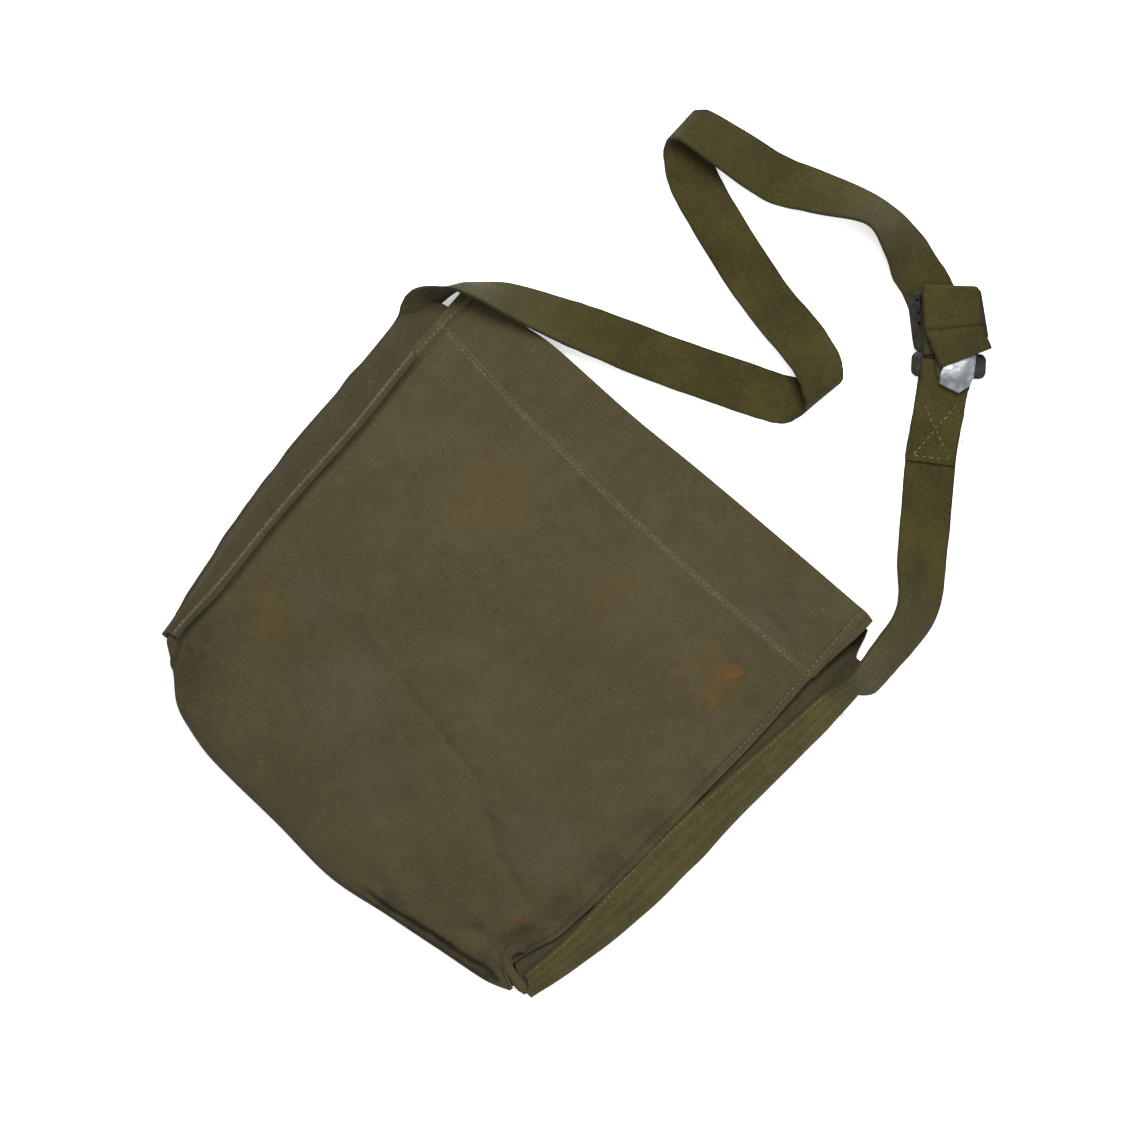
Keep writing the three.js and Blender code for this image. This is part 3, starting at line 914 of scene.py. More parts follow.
class Socket:
    """One value of a material's node tree, with arithmetic that adds Math nodes."""

    def __init__(self, graph: "Graph", output: bpy.types.NodeSocket) -> None:
        """Wrap an output.

        Args:
            graph: The tree that it belongs to.
            output: The node's output.
        """
        self.graph = graph
        self.output = output

    def math(self, operation: str, *others: "Socket | float") -> "Socket":
        """Add a Math node.

        Args:
            operation: Name of the operation.
            others: Its further inputs.

        Returns:
            Its value.
        """
        inputs = dict(enumerate((self, *others)))
        return self.graph.node("ShaderNodeMath", {"operation": operation}, inputs)

    def __add__(self, other: "Socket | float") -> "Socket":
        """Add another value."""
        return self.math("ADD", other)

    def __sub__(self, other: "Socket | float") -> "Socket":
        """Take another value away."""
        return self.math("SUBTRACT", other)

    def __mul__(self, other: "Socket | float") -> "Socket":
        """Multiply by another value."""
        return self.math("MULTIPLY", other)


class Graph:
    """Node tree of one material."""

    def __init__(self, name: str) -> None:
        """Start a material with one Principled shader.

        Args:
            name: Name of the material.
        """
        self.material = bpy.data.materials.new(name)
        self.material.use_nodes = True
        self.tree = self.material.node_tree
        self.tree.nodes.clear()
        self.shader = self.tree.nodes.new("ShaderNodeBsdfPrincipled")
        output = self.tree.nodes.new("ShaderNodeOutputMaterial")
        self.tree.links.new(self.shader.outputs[0], output.inputs["Surface"])
        coordinates = self.tree.nodes.new("ShaderNodeTexCoord")
        self.place = Socket(self, coordinates.outputs["Object"])
        self.uv = Socket(self, coordinates.outputs["UV"])

    def node(self, kind: str, settings: dict, inputs: dict, output: int | str = 0) -> Socket:
        """Add any node.

        Args:
            kind: Type name of the node.
            settings: Properties to set.
            inputs: Values or sockets by input name or number.
            output: Which output to give.

        Returns:
            The output.
        """
        node = self.tree.nodes.new(kind)
        for name, value in settings.items():
            setattr(node, name, value)
        for key, value in inputs.items():
            self.feed(node.inputs[key], value)
        return Socket(self, node.outputs[output])

    def feed(self, target: bpy.types.NodeSocket, value: "Socket | float | tuple") -> None:
        """Link a socket to an input, or set the input's constant.

        Args:
            target: The input.
            value: What goes in.
        """
        if isinstance(value, Socket):
            self.tree.links.new(value.output, target)
        else:
            target.default_value = value

    def noise(self, scale: float, detail: float = 2.0, rough: float = 0.55) -> Socket:
        """Add a noise texture on the object's own coordinates.

        Args:
            scale: Its scale to the metre.
            detail: Number of octaves.
            rough: How much the finer octaves count.

        Returns:
            Its value, about 0.5.
        """
        inputs = {"Vector": self.place, "Scale": scale, "Detail": detail, "Roughness": rough}
        return self.node("ShaderNodeTexNoise", {}, inputs)

    def span(self, value: Socket, low: float, high: float, start: float = 0.0, end: float = 1.0) -> Socket:
        """Map a range smoothly on to another.

        Args:
            value: What to map.
            low: Start of its range.
            high: End of its range.
            start: What the start becomes.
            end: What the end becomes.

        Returns:
            The mapped value.
        """
        inputs = {"Value": value, "From Min": low, "From Max": high, "To Min": start, "To Max": end}
        return self.node("ShaderNodeMapRange", {"interpolation_type": "SMOOTHSTEP"}, inputs)

    def mix(self, share: "Socket | float", a: "Socket | tuple", b: "Socket | tuple") -> Socket:
        """Mix two colours.

        Args:
            share: How much of the second one.
            a: First colour.
            b: Second colour.

        Returns:
            The mixed colour.
        """
        return self.node("ShaderNodeMix", {"data_type": "RGBA"}, {0: share, 6: a, 7: b}, 2)

    def vector(
        self, operation: str, a: "Socket | tuple", b: "Socket | tuple", output: int | str = 0
    ) -> Socket:
        """Add a Vector Math node.

        Args:
            operation: Name of the operation.
            a: Its first input.
            b: Its second input.
            output: Which output to give.

        Returns:
            The output.
        """
        return self.node("ShaderNodeVectorMath", {"operation": operation}, {0: a, 1: b}, output)

    def plan(self) -> Socket:
        """Give the place on the floor plan, with no height."""
        return self.vector("MULTIPLY", self.place, (1, 1, 0))

    def spot(self, spot_mark: StainAndShade) -> Socket:
        """Give a ragged round spot at a place of the bag, whatever its height.

        Args:
            spot_mark: The spot.

        Returns:
            Its strength in the middle of the spot, 0 beyond it.
        """
        # The spot serves stains and painted shade alike.
        off = self.vector("DISTANCE", self.plan(), (spot_mark.x * MM, spot_mark.y * MM, 0), "Value")
        ragged = off * (1 / MM) + (self.noise(210, 3) - 0.5) * spot_mark.radius * 1.6
        return self.span(ragged, spot_mark.radius * 0.25, spot_mark.radius, 1, 0) * spot_mark.strength

    def streak(self, line: Streak) -> Socket:
        """Give a painted line in plan, whatever its height.

        Args:
            line: The line.

        Returns:
            Its strength on the line, or on both sides of it, and 0 beyond.
        """
        run = Vector((line.to_x - line.x, line.to_y - line.y, 0)) * MM
        off = self.vector("SUBTRACT", self.plan(), (line.x * MM, line.y * MM, 0))
        along = self.vector("DOT_PRODUCT", off, tuple(run / run.length_squared), "Value")
        share = self.node("ShaderNodeClamp", {}, {"Value": along})
        foot = self.node("ShaderNodeVectorMath", {"operation": "SCALE"}, {0: tuple(run), "Scale": share})
        gap = self.vector("DISTANCE", off, foot, "Value")
        beside = (gap * (1 / MM) - line.off).math("ABSOLUTE")
        return self.span(beside, line.half * 0.3, line.half, line.strength, 0)

    def marked(self, colour: Socket, marks: Sequence[StainAndShade | Streak], tint: Colour) -> Socket:
        """Tint a colour at spots or along lines.

        Args:
            colour: The colour.
            marks: The spots or lines.
            tint: Their colour.

        Returns:
            The tinted colour.
        """
        for mark in marks:
            share = self.streak(mark) if isinstance(mark, Streak) else self.spot(mark)
            colour = self.mix(share, colour, tint)
        return colour

    def across(self) -> Socket:
        """Give the distance across a sheet in metres, from its UV map."""
        return self.node("ShaderNodeSeparateXYZ", {}, {0: self.uv}, 0)

    def along(self) -> Socket:
        """Give the distance along a sheet in metres, from its UV map."""
        return self.node("ShaderNodeSeparateXYZ", {}, {0: self.uv}, 1)

    def thread_lines(self, pitch_u: float, pitch_v: float) -> tuple[Socket, Socket]:
        """Give waves along both UV directions.

        Args:
            pitch_u: Pitch across in millimetres.
            pitch_v: Pitch along in millimetres.

        Returns:
            A sine across and a sine along.
        """
        shift = (self.noise(240, 2) - 0.5) * 1.6
        wave_u = (self.across() * (math.tau / (pitch_u * MM)) + shift).math("SINE")
        wave_v = (self.along() * (math.tau / (pitch_v * MM)) + shift).math("SINE")
        return wave_u, wave_v

    def bump(self, height: Socket, depth: float) -> Socket:
        """Turn a height into a bumped normal.

        Args:
            height: Height, about 0 to 1.
            depth: What a height of 1 stands for in millimetres.

        Returns:
            The normal.
        """
        return self.node("ShaderNodeBump", {}, {"Height": height, "Distance": depth * MM, "Strength": 1.0})

    def finish(self, **inputs: "Socket | float | tuple") -> bpy.types.Material:
        """Feed the shader.

        Args:
            inputs: Its inputs by name, with underscores for spaces.

        Returns:
            The material.
        """
        for name, value in inputs.items():
            self.feed(self.shader.inputs[name.replace("_", " ")], value)
        return self.material


def srgb(red: int, green: int, blue: int) -> Colour:
    """Turn a colour as a screen shows it into linear light.

    Args:
        red: 0 to 255.
        green: 0 to 255.
        blue: 0 to 255.

    Returns:
        The linear colour.
    """
    parts = []
    for part in (red, green, blue):
        share = part / 255
        parts.append(share / 12.92 if share <= 0.04045 else ((share + 0.055) / 1.055) ** 2.4)
    return (*parts, 1.0)


STAINS = table(
    StainAndShade,
    (121.9, 70, 6.5, 0.6), (125, 64, 7, 0.25), (115, 66, 11, 0.2), (121.8, 47.4, 8, 0.3),
    (117, 51, 12, 0.15), (96.9, 53.7, 11, 0.15), (101.1, 73.7, 9, 0.2), (110.9, -143.1, 5, 0.45),
)

SMEARS = table(
    StainAndShade,
    (-146.5, -82.3, 13, 0.45), (-136, -92, 15, 0.35), (-140, -86, 24, 0.2), (97.7, -179.4, 14, 0.4),
    (118, 58, 24, 0.2), (-70, 66, 46, 0.25), (40, 70, 40, 0.18), (-20, -20, 50, 0.15),
)

# Painted shade: darker spots along the strip under the bottom fold, on the lower left slope, in the valley
# beside the right seam and, faintly, over the hem.
SHADE_SPOTS = table(
    StainAndShade,
    (40, -188, 15, 0.35), (62, -192, 15, 0.4), (85, -190, 15, 0.4), (108, -186, 16, 0.4),
    (-158, -152, 26, 0.3), (-172, -126, 20, 0.25), (-135, -172, 22, 0.2), (126, -152, 22, 0.36),
    (133, -118, 20, 0.32), (139, -80, 18, 0.28), (144, -40, 16, 0.24), (148, 0, 15, 0.2),
    (2, 140, 75, 0.1), (116, -42, 55, 0.08),
)

BLEACHED = table(
    StainAndShade,
    (-63, -100, 44, 0.45), (-124, -64, 24, 0.45), (-20, -128, 34, 0.3), (88, -96, 34, 0.3),
    (120, 112, 26, 0.3),
)

# Painted shade on the carrying strap where it stands up at the left corner of the mouth: its steep inner face
# and the turn beside it.
STRAP_FOLD_SHADE = table(
    StainAndShade,
    (-181, 146, 18, 0.35), (-176, 152, 12, 0.2),
)

# Painted shade on the gussets inside the corners of the mouth, under the front's edge and the strap.
MOUTH_SHADE = table(
    StainAndShade,
    (174, 146, 24, 0.85), (-170, 146, 9, 0.6),
)

CLOTH = {"Specular_IOR_Level": 0.12, "Sheen_Weight": 0.03, "Sheen_Roughness": 0.6}


@dataclass(frozen=True)
class CanvasFinish:
    """Heavy plain-weave canvas: brown olive, mottled, spotted with rust; painted shade at given spots and
    folded edges, and pale lines along the stitches, partly wear and partly painted highlight.
    """

    name: str = "olive_canvas"
    deep: Colour = srgb(53, 47, 28)
    faded: Colour = srgb(65, 60, 40)
    brown: Colour = srgb(58, 49, 27)
    smear: Colour = srgb(70, 58, 27)
    rust: Colour = srgb(88, 56, 20)
    dark: Colour = srgb(24, 20, 12)
    lint_and_highlight: Colour = srgb(86, 80, 58)
    pale: Colour = srgb(63, 60, 46)
    shade: tuple[StainAndShade, ...] = ()
    streaks: tuple[Streak, ...] = ()
    fold_shade: tuple[Streak, ...] = ()
    thread: float = 0.75

    def material(self) -> bpy.types.Material:
        """Build the material.

        Returns:
            The material.
        """
        g = Graph(self.name)
        cloud = g.noise(11, 4, 0.6)
        mottle = g.noise(70, 4, 0.65)
        fleck = g.noise(650, 2, 0.7)
        tone = cloud * 0.4 + mottle * 0.35 + fleck * 0.4
        colour = g.mix(g.span(tone, 0.42, 0.75), self.deep, self.faded)
        colour = g.mix(g.span(g.noise(310, 2), 0.64, 0.76, 0, 0.4), colour, self.dark)
        colour = g.mix(g.span(g.noise(270, 2), 0.66, 0.78, 0, 0.35), colour, self.lint_and_highlight)
        colour = g.mix(g.span(g.noise(19, 3), 0.52, 0.72, 0, 0.45), colour, self.brown)
        # The cloth's own fading, smears and rust come first; then painted shade at given spots, pale lines
        # along the stitches (partly wear, partly painted highlight) and painted shade along the folded edges.
        layers = (
            (BLEACHED, self.pale), (SMEARS, self.smear), (STAINS, self.rust),
            (self.shade, self.dark), (self.streaks, self.lint_and_highlight), (self.fold_shade, self.dark),
        )
        for marks, tint in layers:
            colour = g.marked(colour, marks, tint)
        wave_u, wave_v = g.thread_lines(self.thread, self.thread)
        weave = wave_u * wave_v * 0.25 + fleck * 0.9
        return g.finish(
            Base_Color=colour,
            Roughness=g.span(mottle, 0.3, 0.7, 0.82, 0.95),
            Normal=g.bump(weave, 0.25),
            **CLOTH,
        )


@dataclass(frozen=True)
class WebbingFinish:
    """Ribbed cotton webbing, greener than the canvas, with painted shade along its edges and at given spots.
    """

    name: str = "olive_webbing"
    deep: Colour = srgb(38, 34, 8)
    faded: Colour = srgb(58, 53, 21)
    thin: Colour = srgb(54, 49, 25)
    worn: Colour = srgb(73, 67, 38)
    dark: Colour = srgb(16, 14, 7)
    shade: tuple[StainAndShade, ...] = ()
    rim_shade: float = 0.45
    sewn: float = 0.28
    wear: float = 0.0
    rib: float = 1.05
    cord: float = 0.9

    def material(self) -> bpy.types.Material:
        """Build the material.

        Returns:
            The material.
        """
        g = Graph(self.name)
        wave_u, wave_v = g.thread_lines(self.cord, self.rib)
        fleck = g.noise(430, 3, 0.75)
        tone = g.noise(26, 4, 0.6) * 0.5 + fleck * 0.47 + wave_v * 0.06 + wave_u * wave_v * 0.06
        colour = g.mix(g.span(tone, 0.345, 0.635), self.deep, self.faded)
        stripe, bars = g.thread_lines(self.cord * 6.5, self.rib * 1.7)
        rubbed = g.noise(45, 4, 0.65) * 0.45 + fleck * 0.55 + bars * fleck * 0.07 + stripe * 0.05
        worn = g.mix(g.span(rubbed, 0.34, 0.66), self.thin, self.worn)
        colour = g.mix(g.span(g.along(), self.sewn, self.sewn + 0.1, self.wear, 0), colour, worn)
        # Painted shade at given spots.
        colour = g.marked(colour, self.shade, self.dark)
        # Painted shade along both edges, where the rounded selvages turn away from the light.
        half = WEBBING_WIDTH / 2
        off_middle = (g.across() - half * MM).math("ABSOLUTE") + (fleck - 0.5) * MM
        edge_shade = g.span(off_middle, (half - 1.9) * MM, half * MM, 0, self.rim_shade)
        colour = g.mix(edge_shade, colour, self.dark)
        ribs = wave_v * 0.35 + wave_u * 0.2 + wave_u * wave_v * 0.25 + fleck * 0.6
        return g.finish(
            Base_Color=colour,
            Roughness=g.span(fleck, 0.3, 0.7, 0.8, 0.95),
            Normal=g.bump(ribs, 0.3),
            **CLOTH,
        )


@dataclass(frozen=True)
class ThreadFinish:
    """Sewing thread, paler than the cloth."""

    name: str
    dark: Colour
    light: Colour

    def material(self) -> bpy.types.Material:
        """Build the material.

        Returns:
            The material.
        """
        g = Graph(self.name)
        worn = g.noise(160, 3)
        twist = g.noise(1800, 1)
        return g.finish(
            Base_Color=g.mix(g.span(worn, 0.35, 0.65), self.dark, self.light),
            Roughness=g.span(worn, 0.3, 0.7, 0.7, 0.9),
            Specular_IOR_Level=0.3,
            Normal=g.bump(twist, 0.15),
        )


@dataclass(frozen=True)
class SteelFinish:
    """Blackened pressed steel, worn pale at rubbed places."""

    name: str = "blackened_steel"
    black: Colour = srgb(16, 17, 12)
    worn: Colour = srgb(30, 31, 24)

    def material(self) -> bpy.types.Material:
        """Build the material.

        Returns:
            The material.
        """
        g = Graph(self.name)
        rubbed = g.noise(190, 4, 0.65)
        grain = g.noise(1500, 2)
        return g.finish(
            Base_Color=g.mix(g.span(rubbed, 0.42, 0.66), self.black, self.worn),
            Metallic=0.1,
            Specular_IOR_Level=0.15,
            Roughness=g.span(rubbed, 0.3, 0.7, 0.62, 0.45),
            Normal=g.bump(grain, 0.06),
        )


@dataclass(frozen=True)
class ZincFinish:
    """Bright zinc-plated sheet, dull and lightly dented."""

    name: str = "bright_zinc"
    dull: Colour = srgb(86, 89, 92)
    bright: Colour = srgb(116, 120, 124)

    def material(self) -> bpy.types.Material:
        """Build the material.

        Returns:
            The material.
        """
        g = Graph(self.name)
        cloud = g.noise(150, 3)
        dent = g.noise(90, 2)
        return g.finish(
            Base_Color=g.mix(g.span(cloud, 0.35, 0.7), self.dull, self.bright),
            Metallic=0.85,
            Roughness=g.span(cloud, 0.3, 0.7, 0.42, 0.28),
            Normal=g.bump(dent, 0.5),
        )


@dataclass
class Piece:
    """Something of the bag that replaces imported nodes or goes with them."""

    form: BagForm
    name: str

    def own(self, made: bpy.types.Object, finish: bpy.types.Material, slot: Slot, node: str | None) -> None:
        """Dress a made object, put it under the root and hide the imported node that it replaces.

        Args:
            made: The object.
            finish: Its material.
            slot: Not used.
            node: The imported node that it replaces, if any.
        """
        made.data.materials.append(finish)
        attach(made, "root")
        if node:
            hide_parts(node)


@dataclass
class BodyCanvas(Piece):
    """One canvas from the back's mouth round the bottom fold to the front's mouth."""

    columns: int = 190
    back_rows: int = 26
    fold_rows: int = 32
    front_rows: int = 150
    side_crowding: float = 0.09
    fold_crowding: float = 1.15
    pleat_depth: float = 6.5
    pleat_inset: float = 0.25

    @property
    def rows(self) -> int:
        """Count the faces along the whole canvas."""
        return self.back_rows + self.fold_rows + self.front_rows

    def place(self, across: float, along: float) -> Vector:
        """Place a vertex of the outer face.

        Args:
            across: Share from left to right.
            along: Share from the back's mouth to the front's.

        Returns:
            The vertex in millimetres.
        """
        row = round(along * self.rows)
        top, bottom = self.form.panel["top"](across), self.form.panel["bottom"](across)
        fold_y = bottom + BOTTOM_ROUND
        seam = self.form.seam
        if row >= self.back_rows + self.fold_rows:
            up = (row - self.back_rows - self.fold_rows) / self.front_rows
            y = lerp(fold_y, top, up**self.fold_crowding)
            return Vector((self.form.front_x(across, y), y, self.form.front_height(across, y)))
        if row > self.back_rows:
            turn = math.pi * (1 - (row - self.back_rows) / self.fold_rows)
            back_x = lerp(seam["back_left"](fold_y), seam["back_right"](fold_y), across)
            even, early = (1 - math.cos(turn)) / 2, smoothstep(turn, 0, 0.9)
            widened = lerp(even, early, smoothstep(across, 0.6, 1))
            x = lerp(self.form.front_x(across, fold_y), back_x, widened)
            z = self.form.front_height(across, fold_y) * (1 + math.cos(turn)) / 2
            waver = 0.4 + 0.32 * noise.noise(Vector((x / 21, 0.4, 2.2)))
            pleat = smoothstep(across, 0.62, 0.7) * (1 - smoothstep(across, 0.95, 0.99))
            pleat *= bell(turn, waver, 0.36)
            out = BOTTOM_ROUND * math.sin(turn) * (1 - self.pleat_inset * pleat)
            return Vector((x, fold_y - out, z - self.pleat_depth * pleat))
        y = lerp(top - BACK_MOUTH_DROP, fold_y, row / self.back_rows)
        return Vector((lerp(seam["back_left"](y), seam["back_right"](y), across), y, 0))

    def build(self, finish: bpy.types.Material) -> None:
        """Make the canvas.

        Args:
            finish: Its material.
        """
        canvas = Mesher.sheet(self.name, self.columns, self.rows, self.place, BODY_FLAT, self.side_crowding)
        Mesher.thicken(canvas, CANVAS, -1, CANVAS_ROUND)
        self.own(canvas, finish, Slot.CANVAS, "body_canvas")


@dataclass
class Gusset(Piece):
    """A collapsed side gusset."""

    NODES = {Side.LEFT: "gusset_left", Side.RIGHT: "gusset_right"}

    side: Side = Side.LEFT
    end: float = -137.0
    ear: float = 5.0
    top: float = 142.0
    edge_top: float = 135.0
    fall: tuple[float, float] = (0.02, 0.4)
    drop: float = 0.0
    flat: tuple[float, float] = (0.076, 0.245)
    columns: int = 70
    rows: int = 130

    def place(self, across: float, along: float) -> Vector:
        """Place a vertex of the mid surface.

        Args:
            across: Share from the front seam to the back.
            along: Share from the bottom to the top.

        Returns:
            The vertex in millimetres.
        """
        share = 1 - across if self.side is Side.LEFT else across
        bottom = self.end - self.ear * math.sin(math.pi * min(1.15 * share, 1)) ** 3
        upper = lerp(self.top, self.edge_top, smoothstep(share, *self.fall))
        upper -= self.drop * smoothstep(share, 0.42, 0.5)
        y = lerp(bottom, upper, along)
        return self.form.sections[self.side].on(share, y)

    def build(self, finish: bpy.types.Material) -> None:
        """Make the gusset.

        Args:
            finish: Its material.
        """
        gusset = Mesher.sheet(self.name, self.columns, self.rows, self.place, self.flat)
        Mesher.thicken(gusset, CANVAS, 0, CANVAS_ROUND)
        self.own(gusset, finish, Slot.CANVAS, self.NODES[self.side])


@dataclass
class BuckleAxes:
    """Axes of the buckle on the floor plan."""

    x: float = 90.0
    y: float = 335.5
    bearing: float = -46.0

    def point(self, along: float, across: float, z: float) -> Vector:
        """Find a place from the buckle's own axes.

        Args:
            along: Distance down the buckle.
            across: Distance across it.
            z: Height.

        Returns:
            The point in millimetres.
        """
        turn = math.radians(self.bearing)
        cos, sin = math.cos(turn), math.sin(turn)
        return Vector((self.x + cos * along - sin * across, self.y + sin * along + cos * across, z))

    def rows(self) -> list[StrapRow]:
        """Turn the strap's cross-lines at the buckle into plan ones.

        Returns:
            The cross-lines.
        """
        rows = []
        for row in BUCKLE_RUN:
            point = self.point(row.along, row.across, row.z)
            rows.append(StrapRow(point.x, point.y, point.z, row.side, 0, row.span))
        return rows


@dataclass
class LongStrap(Piece):
    """The carrying strap: down the left gusset, round the mouth, two folds and the buckle."""

    columns: int = 10

    def build(self, finish: bpy.types.Material) -> None:
        """Make the strap.

        Args:
            finish: Its material.
        """
        ribbon = Ribbon([*LONG_RUN, *BuckleAxes().rows()])
        rows = len(ribbon.middle) - 1
        length = ribbon.lengths[-1]
        log.info("long strap %.0f mm", length)

        def place(across: float, along: float) -> Vector:
            """Place a vertex of the strap."""
            return ribbon.point(across, round(along * rows))

        def run(along: float) -> float:
            """Measure the strap up to a share along it."""
            return ribbon.lengths[round(along * rows)]

        flat = (WEBBING_WIDTH * MM, round(length) * MM)
        strap = Mesher.sheet(self.name, self.columns, rows, place, flat, run=run)
        Mesher.thicken(strap, WEBBING, 0, WEBBING_ROUND)
        self.own(strap, finish, Slot.WEBBING, "strap_long")


@dataclass
class ShortStrap(Piece):
    """The strap sewn on the right gusset, free from there to the buckle's bar and back."""

    columns: int = 14
    sewn_rows: int = 110
    join_rows: int = 14
    start: float = -170.0
    end: float = 92.0
    join_length: float = 31.0
    slant: float = 9.0
    inner: Callable[[float], float] = column(SEWN_EDGE, "inner")

    def sewn(self, across: float, y: float, lift: float) -> Vector:
        """Place a point of the sewn part.

        Args:
            across: Share from its inner edge.
            y: Height.
            lift: Distance off the gusset's mid line.

        Returns:
            The point in millimetres.
        """
        grid = self.form.sections[Side.RIGHT]
        first = grid.share_at(self.inner(y), y, 0.22, 0.47)
        edge = grid.edge_share
        above = (edge - first) / edge * grid.length(y, 0) / WEBBING_WIDTH
        pin = 8 / self.columns
        if across <= pin:
            share = lerp(first, edge, across / pin)
        else:
            below = (1 - edge) * (1 - above) * WEBBING_WIDTH / grid.length(y, 1)
            share = edge + below * (across - pin) / (1 - pin)
        point = grid.off(share, y, lift)
        point.z = max(point.z, WEBBING / 2)
        return point

    def build(self, finish: bpy.types.Material) -> None:
        """Make the strap.

        Args:
            finish: Its material.
        """
        ribbon = Ribbon(SHORT_RUN)
        free_rows = len(ribbon.middle) - 1
        rows = self.sewn_rows + self.join_rows + free_rows
        lift = CANVAS / 2 + SEWN_GAP + WEBBING / 2

        def place(across: float, along: float) -> Vector:
            """Place a vertex of the sewn part, of the free one or of the join between them.

            Args:
                across: Share across.
                along: Share along.

            Returns:
                The vertex in millimetres.
            """
            row = round(along * rows)
            if row <= self.sewn_rows:
                low = self.start - self.slant * smoothstep(across, 0.05, 0.6)
                return self.sewn(across, lerp(low, self.end, row / self.sewn_rows), lift)
            if row >= self.sewn_rows + self.join_rows:
                return ribbon.point(across, row - self.sewn_rows - self.join_rows)
            start, end = self.sewn(across, self.end, lift), ribbon.point(across, 0)
            reach = (end - start).length
            leaving = (start - self.sewn(across, self.end - 6, lift)).normalized() * reach
            arriving = (ribbon.point(across, 2) - end).normalized() * reach
            return hermite(start, end, leaving, arriving, (row - self.sewn_rows) / self.join_rows)

        def run(along: float) -> float:
            """Measure the strap up to a share along it.

            Args:
                along: The share.

            Returns:
                Millimetres from its sewn end.
            """
            row = round(along * rows)
            sewn = (self.end - self.start) * min(row / self.sewn_rows, 1)
            join = self.join_length * clamp((row - self.sewn_rows) / self.join_rows)
            return sewn + join + ribbon.lengths[max(row - self.sewn_rows - self.join_rows, 0)]

        length = ribbon.lengths[-1] + self.end - self.start + self.join_length
        log.info("short strap %.0f mm", length)
        flat = (WEBBING_WIDTH * MM, round(length) * MM)
        strap = Mesher.sheet(self.name, self.columns, rows, place, flat, run=run)
        Mesher.thicken(strap, WEBBING, 0, WEBBING_ROUND)
        self.own(strap, finish, Slot.WEBBING, "strap_short")


class Anchor(NamedTuple):
    """A place of a stitch line: a point of the cloth's face and the way out of it."""

    point: Vector
    out: Vector


UP = Vector((0, 0, 1))


@dataclass
class StitchLine(Piece):
    """A row of sewing stitches along a line of anchors."""

    anchors: Sequence[Anchor]
    pitch: float
    length: float
    width: float
    slot: Slot = Slot.CANVAS
    uneven: float = 0.1
    skewed: float = 0.12
    flatness: float = 0.42

    def build(self, finish: bpy.types.Material) -> None:
        """Sew the row.

        Args:
            finish: The thread's material.
        """
        bm = bmesh.new()
        line = [anchor.point for anchor in self.anchors]
        outs = [anchor.out for anchor in self.anchors]
        lengths = measured(line)
        count = max(int(lengths[-1] / self.pitch), 1)
        for i in range(count):
            middle = (i + 0.5) * lengths[-1] / count
            reach = self.length * (0.42 + self.uneven * noise.noise(Vector((i * 3.7, 0.3, lengths[-1]))))
            start, end = (at_length(line, lengths, middle + off) for off in (-reach, reach))
            out = at_length(outs, lengths, middle).normalized()
            along = (end - start).normalized()
            aside = out.cross(along).normalized()
            skew = self.skewed * noise.noise(Vector((i * 1.9, 4.1, lengths[-1])))
            along = (along + aside * skew).normalized()
            turn = Matrix((along, out.cross(along), out)).transposed().to_4x4()
            size = Matrix.Diagonal((reach, self.width / 2, self.width * self.flatness, 1 / MM)) * MM
            spot = Matrix.Translation((start + end) / 2 * MM)
            bmesh.ops.create_uvsphere(bm, u_segments=8, v_segments=6, radius=1, matrix=spot @ turn @ size)
        row = Mesher.made(self.name, bm)
        self.own(row, finish, self.slot, None)


